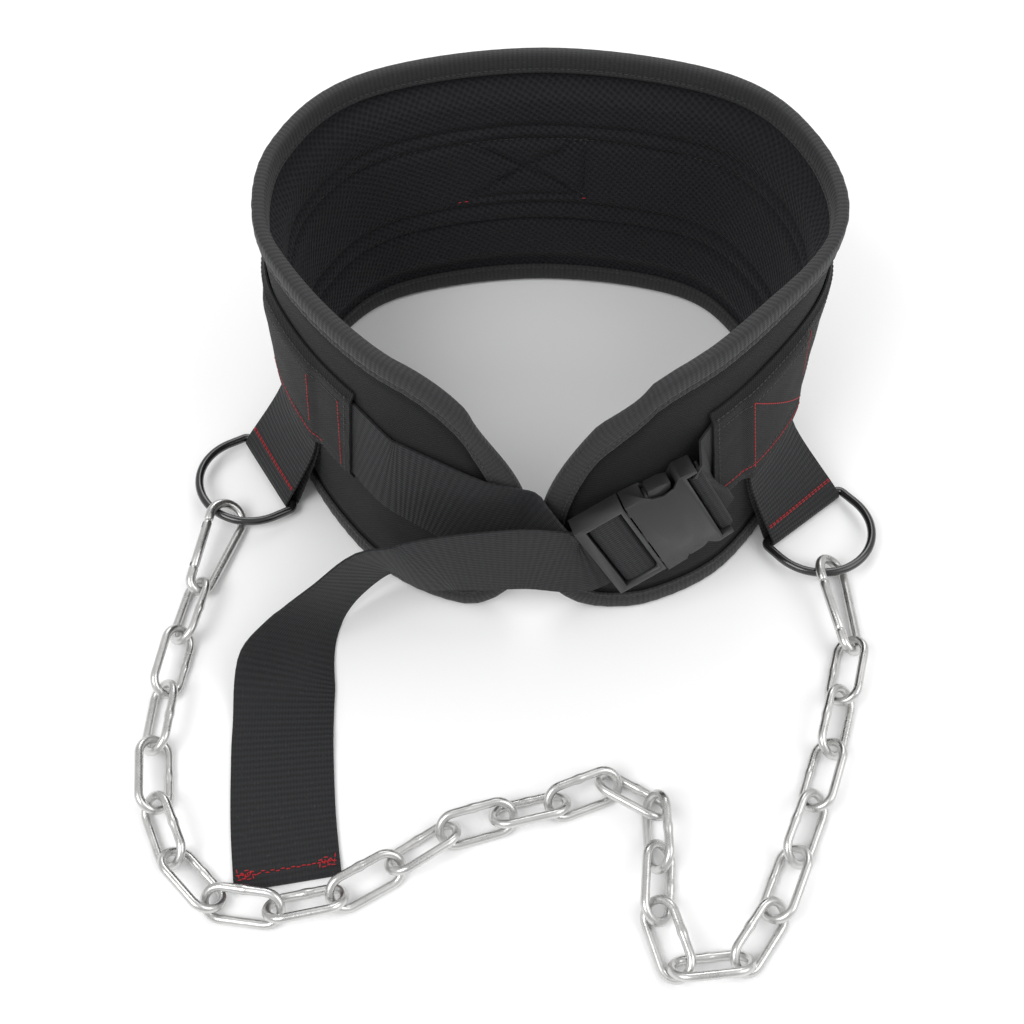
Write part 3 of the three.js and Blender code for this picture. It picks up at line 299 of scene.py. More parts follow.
@dataclass(frozen=True)
class Outline:
    """The belt's cut: heights of its two edges, which close in round noses at the tips."""

    wall: Wall
    height: float = 150.0
    upper_nose: float = 52.0
    lower_nose: float = 40.0
    upper_run: float = 80.0
    lower_run: float = 36.0

    def edges(self, along: np.ndarray) -> tuple[np.ndarray, np.ndarray]:
        """Heights of the lower and the upper edge at each distance along the wall.

        Args:
            along: Distances along the foot from the left tip.

        Returns:
            The lower and the upper heights.
        """
        tip = np.clip(np.minimum(along, self.wall.girth - along), 0, None)
        share = lambda run: np.sqrt(np.clip(1 - (1 - np.minimum(tip / run, 1)) ** 2, 0, 1))
        upper = self.upper_nose + (self.height - self.upper_nose) * share(self.upper_run)
        return self.lower_nose * (1 - share(self.lower_run)), upper

    def columns(self, pitch: float, run: float | None = None, steps: int = 26) -> np.ndarray:
        """Distances along the wall, closer at the tips.

        Args:
            pitch: Distance between two columns away from the tips.
            run: How far the tips' closer columns reach.
            steps: How many columns each tip has.

        Returns:
            Distances from the left tip.
        """
        run = run or self.upper_run
        tip = run * (1 - np.cos(np.linspace(0, math.pi / 2, steps)))
        count = max(int((self.wall.girth - 2 * run) / pitch), 2)
        middle = np.linspace(run, self.wall.girth - run, count)[1:-1]
        return np.concatenate([tip, middle, self.wall.girth - tip[::-1]])

    def loop(self) -> np.ndarray:
        """The closed outline as rows of distance and height.

        Returns:
            The rows, round the belt.
        """
        top = self.columns(3.2)
        low = self.columns(3.2, self.lower_run, 18)[::-1]
        rows = np.vstack([np.stack([top, self.edges(top)[1]], 1), np.stack([low, self.edges(low)[0]], 1)])
        return rows

    def inside(self, along: np.ndarray, up: np.ndarray) -> np.ndarray:
        """Distance of each place on the wall to the nearest edge.

        Args:
            along: Distances along the foot from the left tip.
            up: Heights along the face.

        Returns:
            The distances.
        """
        loop = self.loop()
        start, step = loop, np.roll(loop, -1, 0) - loop
        flat = np.stack([along.ravel(), up.ravel()], 1)[:, None]
        share = np.clip(((flat - start) * step).sum(2) / (step * step).sum(1), 0, 1)
        nearest = np.linalg.norm(start + share[..., None] * step - flat, axis=2).min(1)
        return nearest.reshape(along.shape)


# Finishes


# Scales of the noise in the finishes, in turns a metre.
PATCH_SCALE = 26.0
LINT_SCALE = 900.0
BROAD_SCALE = 90.0


class Weave(Enum):
    """How a cloth's threads lie."""

    PLAIN = "plain"
    RIBBED = "ribbed"
    MESH = "mesh"


class Nodes:
    """A small helper that adds and links the nodes of one tree."""

    def __init__(self, tree: bpy.types.NodeTree) -> None:
        """Keeps the tree."""
        self.tree = tree

    def add(self, kind: str, inputs: dict | None = None, **options: object) -> bpy.types.Node:
        """Adds a node.

        Args:
            kind: Its type name.
            inputs: Values or output sockets for its inputs, by name or index.
            options: Its properties.

        Returns:
            The node.
        """
        made = self.tree.nodes.new(kind)
        for name, value in options.items():
            setattr(made, name, value)
        for name, value in (inputs or {}).items():
            if isinstance(value, bpy.types.NodeSocket):
                self.tree.links.new(value, made.inputs[name])
            else:
                made.inputs[name].default_value = value
        return made

    def mix(self, factor: bpy.types.NodeSocket, first: object, second: object) -> bpy.types.NodeSocket:
        """A colour between two others, each a value or an output socket.

        Args:
            factor: The second colour's share.
            first: The first colour.
            second: The second colour.

        Returns:
            The socket that gives the mixed colour.
        """
        made = self.add("ShaderNodeMix", {"Factor": factor}, data_type="RGBA")
        for socket, value in zip([s for s in made.inputs if s.type == "RGBA"], (first, second), strict=True):
            if isinstance(value, bpy.types.NodeSocket):
                self.tree.links.new(value, socket)
            else:
                socket.default_value = value
        return next(s for s in made.outputs if s.type == "RGBA")

    def math(self, operation: str, first: object, second: object = 0.0) -> bpy.types.NodeSocket:
        """The result of one sum."""
        return self.add("ShaderNodeMath", {0: first, 1: second}, operation=operation).outputs[0]


def shade(colour: Sequence[float], factor: float) -> tuple[float, ...]:
    """A colour made darker or lighter, with its alpha."""
    return (*(min(c * factor, 1) for c in colour), 1)


def start_material(name: str) -> tuple[bpy.types.Material, Nodes, bpy.types.Node]:
    """A fresh material.

    Args:
        name: Its name.

    Returns:
        The material, its nodes and its shader.
    """
    material = bpy.data.materials.new(name)
    material.use_nodes = True
    nodes = Nodes(material.node_tree)
    return material, nodes, material.node_tree.nodes["Principled BSDF"]


@dataclass(frozen=True)
class Cloth:
    """A woven finish whose pattern follows the piece's own UV map, in metres."""

    name: str
    colour: tuple[float, float, float]
    weave: Weave
    pitch: float
    depth: float
    roughness: float = 0.82
    sheen: float = 0.35
    variation: float = 0.3

    def threads(self, nodes: Nodes, place: bpy.types.NodeSocket) -> bpy.types.NodeSocket:
        """Height of the weave.

        Args:
            nodes: The material's nodes.
            place: The UV place.

        Returns:
            A socket from 0 to 1.
        """
        if self.weave is Weave.MESH:
            turned = nodes.add("ShaderNodeMapping", {"Vector": place, "Rotation": (0, 0, math.radians(32))})
            cells = nodes.add("ShaderNodeTexVoronoi", {"Vector": turned.outputs[0], "Scale": 1 / self.pitch,
                                                       "Randomness": 0.12}, voronoi_dimensions="2D")
            return nodes.add("ShaderNodeMapRange", {"Value": cells.outputs["Distance"], "From Min": 0.12,
                                                    "From Max": 0.55}).outputs[0]
        split = nodes.add("ShaderNodeSeparateXYZ", {"Vector": place})
        step = 2 * math.pi / self.pitch
        waves = [nodes.math("SINE", nodes.math("MULTIPLY", split.outputs[k], step * share))
                 for k, share in ((0, 1.0), (1, 0.5 if self.weave is Weave.RIBBED else 1.0))]
        if self.weave is Weave.RIBBED:
            rib = nodes.math("ADD", nodes.math("MULTIPLY", waves[1], 0.35), nodes.math("MULTIPLY", waves[0], 0.15))
            return nodes.math("ADD", rib, 0.5)
        return nodes.math("ADD", nodes.math("MULTIPLY", nodes.math("MULTIPLY", waves[0], waves[1]), 0.5), 0.5)

    def material(self) -> bpy.types.Material:
        """The finish as a material.

        Returns:
            The material.
        """
        material, nodes, shader = start_material(self.name)
        place = nodes.add("ShaderNodeUVMap", uv_map="Cloth").outputs[0]
        height = self.threads(nodes, place)
        solid = nodes.add("ShaderNodeTexCoord").outputs["Object"]
        patches = nodes.add("ShaderNodeTexNoise", {"Vector": solid, "Scale": PATCH_SCALE, "Detail": 5.0}).outputs["Fac"]
        lint = nodes.add("ShaderNodeTexNoise", {"Vector": solid, "Scale": LINT_SCALE, "Detail": 2.0}).outputs["Fac"]
        specks = nodes.add("ShaderNodeMapRange", {"Value": lint, "From Min": 0.62, "From Max": 0.8,
                                                  "To Max": 0.5}).outputs[0]
        blend = nodes.math("ADD", nodes.math("MULTIPLY", height, 0.6), nodes.math("MULTIPLY", patches, 0.4))
        tint = nodes.mix(blend, shade(self.colour, 1 - self.variation), shade(self.colour, 1 + self.variation))
        fluff = (*(min(c * 2.6 + 0.01, 1) for c in self.colour), 1)
        nodes.tree.links.new(nodes.mix(specks, tint, fluff), shader.inputs["Base Color"])
        rough = nodes.add("ShaderNodeMapRange", {"Value": patches, "To Min": self.roughness - 0.08,
                                                 "To Max": min(self.roughness + 0.1, 1.0)}).outputs[0]
        nodes.tree.links.new(rough, shader.inputs["Roughness"])
        raised = nodes.math("ADD", height, nodes.math("MULTIPLY", lint, 0.5))
        bump = nodes.add("ShaderNodeBump", {"Height": raised, "Strength": 0.7, "Distance": self.depth})
        nodes.tree.links.new(bump.outputs[0], shader.inputs["Normal"])
        shader.inputs["Sheen Weight"].default_value = self.sheen
        shader.inputs["Sheen Roughness"].default_value = 0.5
        shader.inputs["Specular IOR Level"].default_value = 0.25
        return material


@dataclass(frozen=True)
class Hard:
    """A metal, paint or plastic finish in object coordinates."""

    name: str
    colour: tuple[float, float, float]
    metal: float
    roughness: float
    grain: float
    grain_size: float
    variation: float = 0.15
    coat: float = 0.0

    def material(self) -> bpy.types.Material:
        """The finish as a material.

        Returns:
            The material.
        """
        material, nodes, shader = start_material(self.name)
        solid = nodes.add("ShaderNodeTexCoord").outputs["Object"]
        fine = nodes.add("ShaderNodeTexNoise", {"Vector": solid, "Scale": 1 / self.grain_size,
                                                "Detail": 4.0}).outputs["Fac"]
        broad = nodes.add("ShaderNodeTexNoise", {"Vector": solid, "Scale": BROAD_SCALE, "Detail": 3.0}).outputs["Fac"]
        tint = nodes.mix(broad, shade(self.colour, 1 - self.variation), shade(self.colour, 1 + self.variation))
        nodes.tree.links.new(tint, shader.inputs["Base Color"])
        mixed = nodes.math("ADD", nodes.math("MULTIPLY", fine, 0.5), nodes.math("MULTIPLY", broad, 0.5))
        rough = nodes.add("ShaderNodeMapRange", {"Value": mixed, "From Min": 0.3, "From Max": 0.7,
                                                 "To Min": self.roughness * 0.75,
                                                 "To Max": min(self.roughness * 1.3, 1.0)}).outputs[0]
        nodes.tree.links.new(rough, shader.inputs["Roughness"])
        bump = nodes.add("ShaderNodeBump", {"Height": fine, "Strength": 0.5, "Distance": self.grain})
        nodes.tree.links.new(bump.outputs[0], shader.inputs["Normal"])
        shader.inputs["Metallic"].default_value = self.metal
        shader.inputs["Coat Weight"].default_value = self.coat
        shader.inputs["Coat Roughness"].default_value = 0.12
        return material


FINISHES = {
    "nylon": Cloth("packcloth nylon", (0.0055, 0.0056, 0.0061), Weave.PLAIN, 0.0014, 0.00045,
                   sheen=0.05, variation=0.42),
    "mesh": Cloth("spacer mesh", (0.0110, 0.0110, 0.0135), Weave.MESH, 0.0027, 0.0011, 0.85, 0.03, 0.7),
    "tape": Cloth("binding tape", (0.0250, 0.0250, 0.0265), Weave.RIBBED, 0.0013, 0.0004, 0.7, 0.10, 0.38),
    "band": Cloth("band webbing", (0.0092, 0.0092, 0.0098), Weave.PLAIN, 0.0016, 0.0005, 0.8, 0.05, 0.42),
    "webbing": Cloth("strap webbing", (0.0150, 0.0153, 0.0168), Weave.RIBBED, 0.0015, 0.0006, 0.72, 0.06, 0.4),
    "red": Cloth("red thread", (0.42, 0.016, 0.022), Weave.PLAIN, 0.0006, 0.0001, 0.6, 0.1),
    "black_thread": Cloth("black thread", (0.046, 0.046, 0.049), Weave.PLAIN, 0.0006, 0.0001, 0.6, 0.1),
    "black_wire": Hard("black enamelled wire", (0.010, 0.010, 0.011), 0.0, 0.2, 0.00004, 0.0025, coat=0.6),
    "zinc": Hard("zinc plated steel", (0.62, 0.62, 0.61), 1.0, 0.30, 0.00012, 0.0011, 0.22),
    "plastic": Hard("moulded nylon plastic", (0.018, 0.018, 0.019), 0.0, 0.42, 0.00008, 0.0006, 0.12),
}


class Finishes:
    """Every finish of the belt as a material, made once, by its name in FINISHES."""

    def __init__(self) -> None:
        """Makes the materials."""
        for name, finish in FINISHES.items():
            setattr(self, name, finish.material())


# Mesh making


def finished_object(name: str, mesh: bpy.types.Mesh, material: bpy.types.Material) -> bpy.types.Object:
    """Puts a mesh in the scene with its one material.

    Args:
        name: The piece's name.
        mesh: Its mesh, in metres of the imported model.
        material: Its finish.

    Returns:
        The object, at the origin.
    """
    if not mesh.materials:
        mesh.materials.append(material)
    made = bpy.data.objects.new(name, mesh)
    bpy.context.scene.collection.objects.link(made)
    LOG.info("%s: %d faces", name, len(mesh.polygons))
    return made


def loft(name: str, sections: np.ndarray, material: bpy.types.Material, closed: bool = False,
         sharp: float = 50.0) -> bpy.types.Object:
    """A closed form through equal loops of points, with a UV map in metres.

    Args:
        name: The piece's name.
        sections: Loops of points in the belt's frame, as loop, point and coordinate.
        material: Its finish.
        closed: Whether the last loop joins the first one, instead of both being capped.
        sharp: Angle in degrees past which an edge stays sharp.

    Returns:
        The object.
    """
    count, sides = sections.shape[:2]
    points = Frame.place(sections).reshape(-1, 3)
    rows = np.arange(count if closed else count - 1)
    i, j = (g.ravel() for g in np.meshgrid(rows, np.arange(sides), indexing="ij"))
    ni, nj = (i + 1) % count, (j + 1) % sides
    faces = np.stack([i * sides + j, ni * sides + j, ni * sides + nj, i * sides + nj], 1)
    widths = np.linalg.norm(np.roll(sections, -1, 1) - sections, axis=2).mean(0)
    u = np.concatenate([[0.0], np.cumsum(widths)]) * MM
    middles = sections.mean(1)
    steps = np.linalg.norm(np.roll(middles, -1, 0) - middles, axis=1)
    v = np.concatenate([[0.0], np.cumsum(steps)]) * MM
    uv = np.stack([np.stack([u[j], v[i]], 1), np.stack([u[j], v[i + 1]], 1),
                   np.stack([u[j + 1], v[i + 1]], 1), np.stack([u[j + 1], v[i]], 1)], 1).reshape(-1, 2)
    every = faces.tolist()
    if not closed:
        every += [list(range(sides)), [(count - 1) * sides + k for k in range(sides)][::-1]]
        caps = np.stack([np.tile(u[:sides], 2), np.zeros(2 * sides)], 1)
        uv = np.vstack([uv, caps])
    corner = points[np.array(faces)]
    volume = np.einsum("ij,ij->i", corner[:, 0], np.cross(corner[:, 1], corner[:, 2])
                       + np.cross(corner[:, 2], corner[:, 3])).sum()
    mesh = bpy.data.meshes.new(name)
    mesh.from_pydata(points.tolist(), [], every)
    layer = mesh.uv_layers.new(name="Cloth")
    layer.data.foreach_set("uv", uv.astype(np.float32).ravel())
    mesh.polygons.foreach_set("use_smooth", [True] * len(mesh.polygons))
    if volume < 0:
        mesh.flip_normals()
    mesh.set_sharp_from_angle(angle=math.radians(sharp))
    mesh.update()
    return finished_object(name, mesh, material)


def flat_wire(path: np.ndarray, radius: float, sides: int, closed: bool, rounded: bool = False) -> np.ndarray:
    """Loops of points round a wire that is bent in the plane z = 0.

    Args:
        path: The wire's middle line.
        radius: Half of its thickness.
        sides: Points in each loop.
        closed: Whether the line closes on itself.
        rounded: Whether open ends are rounded over.

    Returns:
        The loops, in the wire's own frame.
    """
    if closed:
        run = unit(np.roll(path, -1, 0) - np.roll(path, 1, 0))
    else:
        run = unit(np.gradient(path, axis=0))
    sizes = np.full(len(path), radius)
    if rounded and not closed:
        turns = np.radians([80, 60, 40, 20])
        first = path[0] - run[0] * (radius * 0.5 * np.sin(turns))[:, None]
        last = path[-1] + run[-1] * (radius * 0.5 * np.sin(turns[::-1]))[:, None]
        path = np.vstack([first, path, last])
        run = np.vstack([np.repeat(run[:1], 4, 0), run, np.repeat(run[-1:], 4, 0)])
        sizes = np.concatenate([radius * np.cos(turns), sizes, radius * np.cos(turns[::-1])])
    beside = np.stack([-run[:, 1], run[:, 0], np.zeros(len(run))], 1)
    angle = np.linspace(0, 2 * math.pi, sides, endpoint=False)
    ring = np.cos(angle)[None, :, None] * beside[:, None] + np.sin(angle)[None, :, None] * np.array([0, 0, 1.0])
    return path[:, None] + ring * sizes[:, None, None]


def arc(centre: tuple[float, float], radii: tuple[float, float], start: float, end: float, steps: int) -> np.ndarray:
    """Points on part of an ellipse.

    Args:
        centre: Its middle.
        radii: Its two half sizes.
        start: First angle in degrees.
        end: Last angle in degrees.
        steps: How many steps it is cut into.

    Returns:
        The points, with z = 0.
    """
    angle = np.radians(np.linspace(start, end, steps + 1))
    return np.stack([centre[0] + radii[0] * np.cos(angle), centre[1] + radii[1] * np.sin(angle),
                     np.zeros(steps + 1)], 1)


def rounded_section(halves: np.ndarray, thickness: float) -> tuple[np.ndarray, np.ndarray]:
    """A flat strap's section: places across it and their offset from its middle.

    Args:
        halves: Places across the strap, from one edge to the other.
        thickness: The strap's thickness.

    Returns:
        Places across and offsets, round the section.
    """
    h = thickness / 2
    low, high = halves[0], halves[-1]
    across = np.concatenate([[low, low + 0.12], halves[1:-1], [high - 0.12, high, high, high - 0.12],
                             halves[1:-1][::-1], [low + 0.12, low]])
    flat = np.full(len(halves) - 2, h)
    side = np.concatenate([[0.45 * h, 0.85 * h], flat, [0.85 * h, 0.45 * h, -0.45 * h, -0.85 * h],
                           -flat, [-0.85 * h, -0.45 * h]])
    return across, side


@dataclass(frozen=True)
class Stitch:
    """Distance from stitch to stitch, length of one stitch and half of the thread's thickness."""

    pitch: float
    length: float
    radius: float


BINDING_STITCH = Stitch(3.4, 2.7, 0.36)
LINING_STITCH = Stitch(3.2, 2.6, 0.3)
BAND_STITCH = Stitch(3.0, 2.4, 0.3)
RED_STITCH = Stitch(2.5, 2.3, 0.34)


class Sewing:
    """Rows of stitches along paths, made by one node tree."""

    def __init__(self) -> None:
        """Builds the tree with its named inputs."""
        inputs = {"Pitch": "Float", "Stitch Length": "Float", "Thread Radius": "Float", "Thread": "Material"}
        nodes, given, self.ids = open_tree("Rows of stitches", "Paths", inputs, "Stitches")
        curve = nodes.add("GeometryNodeMeshToCurve", {"Mesh": given["Paths"]}).outputs[0]
        spaced = nodes.add("GeometryNodeResampleCurve", {"Curve": curve, "Length": given["Pitch"]},
                           mode="LENGTH").outputs[0]
        bead = nodes.add("GeometryNodeMeshUVSphere", {"Segments": 6, "Rings": 4, "Radius": 1.0}).outputs[0]
        half = nodes.math("MULTIPLY", given["Stitch Length"], 0.5)
        size = nodes.add("ShaderNodeCombineXYZ", {"X": given["Thread Radius"], "Y": given["Thread Radius"], "Z": half})
        thread = nodes.add("GeometryNodeTransform", {"Geometry": bead, "Scale": size.outputs[0]}).outputs[0]
        tangent = nodes.add("GeometryNodeInputTangent").outputs[0]
        turn = nodes.add("FunctionNodeAlignRotationToVector", {"Vector": tangent}, axis="Z").outputs[0]
        close_tree(nodes, spaced, thread, turn, given["Thread"], "Stitches")
        self.tree = nodes.tree

    def sew(self, name: str, paths: Sequence[np.ndarray], stitch: Stitch,
            thread: bpy.types.Material) -> bpy.types.Object:
        """Sews along paths.

        Args:
            name: The piece's name.
            paths: Lines of points in the belt's frame.
            stitch: The stitch's sizes.
            thread: Its material.

        Returns:
            The stitches as one mesh.
        """
        points, edges, start = [], [], 0
        for path in paths:
            points += Frame.place(path).tolist()
            edges += [(start + k, start + k + 1) for k in range(len(path) - 1)]
            start += len(path)
        mesh = bpy.data.meshes.new(name + " paths")
        mesh.from_pydata(points, edges, [])
        values = {"Pitch": stitch.pitch * MM, "Stitch Length": stitch.length * MM,
                  "Thread Radius": stitch.radius * MM, "Thread": thread}
        return made_by_tree(name, mesh, self.tree, {self.ids[k]: v for k, v in values.items()})


def open_tree(name: str, given: str, inputs: dict[str, str],
              result: str) -> tuple[Nodes, bpy.types.bpy_prop_collection, dict[str, str]]:
    """A geometry tree's nodes, its given outputs, and its inputs' identifiers by name.

    Args:
        name: The tree's name.
        given: Name of the geometry that it takes.
        inputs: Kinds of its other inputs, by name.
        result: Name of the geometry that it gives.

    Returns:
        The nodes, the sockets of what is given, and the identifiers.
    """
    tree = bpy.data.node_groups.new(name, "GeometryNodeTree")
    face = tree.interface
    face.new_socket(name=given, in_out="INPUT", socket_type="NodeSocketGeometry")
    ids = {key: face.new_socket(name=key, in_out="INPUT", socket_type=f"NodeSocket{kind}").identifier
           for key, kind in inputs.items()}
    face.new_socket(name=result, in_out="OUTPUT", socket_type="NodeSocketGeometry")
    nodes = Nodes(tree)
    return nodes, nodes.add("NodeGroupInput").outputs, ids


def close_tree(nodes: Nodes, points: bpy.types.NodeSocket, copied: bpy.types.NodeSocket, turn: bpy.types.NodeSocket,
               finish: bpy.types.NodeSocket, result: str) -> None:
    """Ends a tree with a smooth copy at every point, as real geometry in its finish.

    Args:
        nodes: The tree's nodes.
        points: Where the copies go.
        copied: What is copied.
        turn: How each copy is turned.
        finish: The copies' material.
        result: Name of the geometry that the tree gives.
    """
    laid = nodes.add("GeometryNodeInstanceOnPoints", {"Points": points, "Instance": copied, "Rotation": turn})
    real = nodes.add("GeometryNodeRealizeInstances", {"Geometry": laid.outputs[0]})
    smooth = nodes.add("GeometryNodeSetShadeSmooth", {"Geometry": real.outputs[0]})
    dyed = nodes.add("GeometryNodeSetMaterial", {"Geometry": smooth.outputs[0], "Material": finish})
    nodes.add("NodeGroupOutput", {result: dyed.outputs[0]})


def made_by_tree(name: str, mesh: bpy.types.Mesh, tree: bpy.types.NodeTree, values: dict) -> bpy.types.Object:
    """Runs a node tree on a mesh and keeps the result as a plain mesh.

    Args:
        name: The piece's name.
        mesh: What the tree starts from.
        tree: The node tree.
        values: Its inputs by identifier.

    Returns:
        The finished object.
    """
    source = bpy.data.objects.new(name + " source", mesh)
    bpy.context.scene.collection.objects.link(source)
    modifier = source.modifiers.new("Rule", "NODES")
    modifier.node_group = tree
    for key, value in values.items():
        modifier[key] = value
    bpy.context.view_layer.update()
    evaluated = source.evaluated_get(bpy.context.evaluated_depsgraph_get())
    result = bpy.data.meshes.new_from_object(evaluated)
    result.name = name
    bpy.data.objects.remove(source)
    material = next((m for m in result.materials if m), None)
    if not result.uv_layers:
        result.uv_layers.new(name="Cloth")
    return finished_object(name, result, material)


# The padded belt


@dataclass
class PaddedBelt:
    """Shell, lining and binding of the belt's body."""

    finishes: Finishes
    sewing: Sewing
    outline: Outline
    shell_thickness: float = 5.5
    shell_edge: float = 2.4
    lining_thickness: float = 2.6
    lining_edge: float = 1.2
    tape_width: float = 10.0
    tape_thickness: float = 1.2
    tape_gap: float = 0.5
    pad_start: float = 5.0
    pad_run: float = 10.0
    column_pitch: float = 3.4
    rows: int = 71
    edge_seam: float = 11.5
    edge_seam_width: float = 3.2
    channel_width: float = 1.7
    box_seam_width: float = 1.5
    box_seam_share: float = 0.9
    plump: float = 1.5
    sunk: float = 1.0
    pinch: float = 0.9
    pinch_at: float = 11.2
    pinch_width: float = 2.6
    slack: float = 0.35
    slack_pitch: float = 46.0
    slack_inward: float = 0.6
    lining_slack: float = 0.3
    lining_slack_pitch: float = 33.0
    tape_puff: float = 0.10
    stitch_inset: float = 2.4
    stitch_sunk: float = 0.15

    def grid(self) -> tuple[np.ndarray, np.ndarray, np.ndarray]:
        """Places on the wall that the padded layers are made through.

        Returns:
            Distance along, height, and distance to the nearest edge.
        """
        along = self.outline.columns(self.column_pitch)
        low, high = self.outline.edges(along)
        share = np.linspace(0, 1, self.rows)
        up = low[:, None] + (high - low)[:, None] * share
        along = np.repeat(along[:, None], self.rows, 1)
        return along, up, self.outline.inside(along, up)

    def full(self, distance: np.ndarray, edge: float, thickness: float) -> np.ndarray:
        """A layer's thickness at a distance from the belt's edge."""
        start = self.tape_width + self.pad_start
        return edge + (thickness - edge) * smoothstep(distance, start, start + self.pad_run)

    def seam_depth(self, along: np.ndarray, up: np.ndarray, distance: np.ndarray) -> np.ndarray:
        """How far the lining is pulled in by its seams.

        Args:
            along: Distance along the wall.
            up: Height.
            distance: Distance to the nearest edge.

        Returns:
            1 on a seam, falling to 0 away from it.
        """
        sewn = smoothstep(along, SEAM_START - 8, SEAM_START) * (1 - smoothstep(along, SEAM_END, SEAM_END + 10))
        pull = hill(distance, self.edge_seam, self.edge_seam_width)
        for height in INSIDE_SEAMS:
            pull = np.maximum(pull, sewn * hill(up, height, self.channel_width))
        left, right, low, high = BACK_BOX
        across = (along > left - 2) & (along < right + 2)
        tall = (up > low - 2) & (up < high + 2)
        slope = (high - low) / (right - left)
        lines = (
            (np.abs(along - left), tall), (np.abs(along - right), tall), (np.abs(up - low), across),
            (np.abs(up - high), across),
            (np.abs(up - low - slope * (along - left)) * 0.87, across & tall),
            (np.abs(up - high + slope * (along - left)) * 0.87, across & tall),
        )
        for away, where in lines:
            pull = np.maximum(pull, np.where(where, hill(away, 0.0, self.box_seam_width), 0) * self.box_seam_share)
        return pull

    def shell(self) -> bpy.types.Object:
        """The outer nylon over the foam.

        Returns:
            The piece.
        """
        along, up, distance = self.grid()
        wall = self.outline.wall
        pinch = self.pinch * hill(distance, self.pinch_at, self.pinch_width)
        soft = self.slack * (1 + ripple(along, up, self.slack_pitch)) * smoothstep(distance, 12, 24)
        front = wall.point(along, up, -pinch - soft * self.slack_inward)
        rear = wall.point(along, up, -self.full(distance, self.shell_edge, self.shell_thickness))
        return loft("shell_cloth", np.concatenate([front, rear[:, ::-1]], 1), self.finishes.nylon)

    def lining(self) -> bpy.types.Object:
        """The mesh lining with its sewn channels.

        Returns:
            The piece.
        """
        along, up, distance = self.grid()
        wall = self.outline.wall
        behind = self.full(distance, self.shell_edge, self.shell_thickness) + CLEARANCE
        seams = self.seam_depth(along, up, distance)
        plump = self.plump * smoothstep(distance, 12, 26) * (1 - seams)
        sunk = self.sunk * seams * smoothstep(distance, 10.5, 13)
        face = behind + self.full(distance, self.lining_edge, self.lining_thickness) + plump - sunk
        face += self.lining_slack * ripple(along, up, self.lining_slack_pitch) * smoothstep(distance, 14, 30)
        front = wall.point(along, up, -behind)
        rear = wall.point(along, up, -face)
        return loft("lining_mesh", np.concatenate([front, rear[:, ::-1]], 1), self.finishes.mesh)

    def tape_section(self) -> np.ndarray:
        """The folded tape's section: distance beyond the belt's edge, and out from its face.

        Returns:
            Rows of both distances, round the section.
        """
        outer = self.tape_gap + self.tape_thickness
        back = -(self.shell_edge + CLEARANCE + self.lining_edge)
        inner = back - self.tape_gap - self.tape_thickness
        w = -self.tape_width
        front = [(w, self.tape_gap), (w, outer - 0.35), (w + 0.4, outer), (w + 1.6, outer + 0.05),
                 (w + 2.4, outer - 0.4), (w + 3.2, outer + 0.1), (-4, outer + 0.25), (-1.5, outer + 0.1),
                 (0.4, outer - 0.25), (1.2, outer - 1.0), (outer, outer - 2.3)]
        rear = [(outer, inner + 2.3), (1.2, inner + 1.0), (0.4, inner + 0.25), (-1.5, inner - 0.1),
                (-4, inner - 0.2), (w + 3.2, inner - 0.1), (w + 2.4, inner + 0.4), (w + 1.6, inner),
                (w + 0.4, inner), (w, inner + 0.35), (w, inner + self.tape_thickness)]
        inside = [(self.tape_gap, inner + self.tape_thickness), (self.tape_gap, self.tape_gap)]
        return np.array(front + rear + inside)

    def edge_line(self) -> tuple[np.ndarray, np.ndarray]:
        """The belt's outline and the direction away from it, along the wall.

        Returns:
            Rows of distance and height, and rows of outward directions.
        """
        loop = self.outline.loop()
        loop = loop[np.linalg.norm(loop - np.roll(loop, 1, 0), axis=1) > 1e-6]
        run = unit(np.roll(loop, -1, 0) - np.roll(loop, 1, 0))
        return loop, np.stack([-run[:, 1], run[:, 0]], 1)

    def binding(self) -> bpy.types.Object:
        """The tape folded over every edge.

        Returns:
            The piece.
        """
        loop, away = self.edge_line()
        section = self.tape_section()
        puff = 1 + self.tape_puff * np.sin(np.arange(len(loop)) * 2.4)[:, None]
        beyond, out = section[:, 0][None], section[:, 1][None] * np.where(section[:, 1][None] > 0, puff, 1)
        along = loop[:, :1] + away[:, :1] * beyond
        up = loop[:, 1:] + away[:, 1:] * beyond
        points = self.outline.wall.point(along, up, out)
        low = (loop[:, 1:] < 0.01) & (beyond > 1.0)
        points[..., 2] = np.where(low & (beyond > 1.5), 0.0, np.maximum(points[..., 2], 0.0))
        return loft("binding_tape", points, self.finishes.tape, closed=True, sharp=70)

    def tape_flat(self) -> tuple[float, float]:
        """Width and length in metres that the tape was cut to, on the middle of its thickness.

        Returns:
            The width and the length.
        """
        loop, _ = self.edge_line()
        leg = self.tape_width + self.tape_gap + self.tape_thickness / 2
        turn = self.shell_edge + CLEARANCE + self.lining_edge + 2 * self.tape_gap + self.tape_thickness
        length = np.linalg.norm(np.roll(loop, -1, 0) - loop, axis=1).sum()
        return (2 * leg + turn) * MM, float(length) * MM

    def tape_stitches(self) -> bpy.types.Object:
        """The row of stitches along the tape on both faces.

        Returns:
            The piece.
        """
        loop, away = self.edge_line()
        paths = []
        back = -(self.shell_edge + CLEARANCE + self.lining_edge)
        over = self.tape_gap + self.tape_thickness
        for out in (over - self.stitch_sunk, back - self.tape_gap - self.tape_thickness + self.stitch_sunk):
            place = loop - away * (self.tape_width - self.stitch_inset)
            points = self.outline.wall.point(place[:, 0], place[:, 1], out)
            paths.append(np.vstack([points, points[:1]]))
        return self.sewing.sew("binding_stitching", paths, BINDING_STITCH, self.finishes.black_thread)

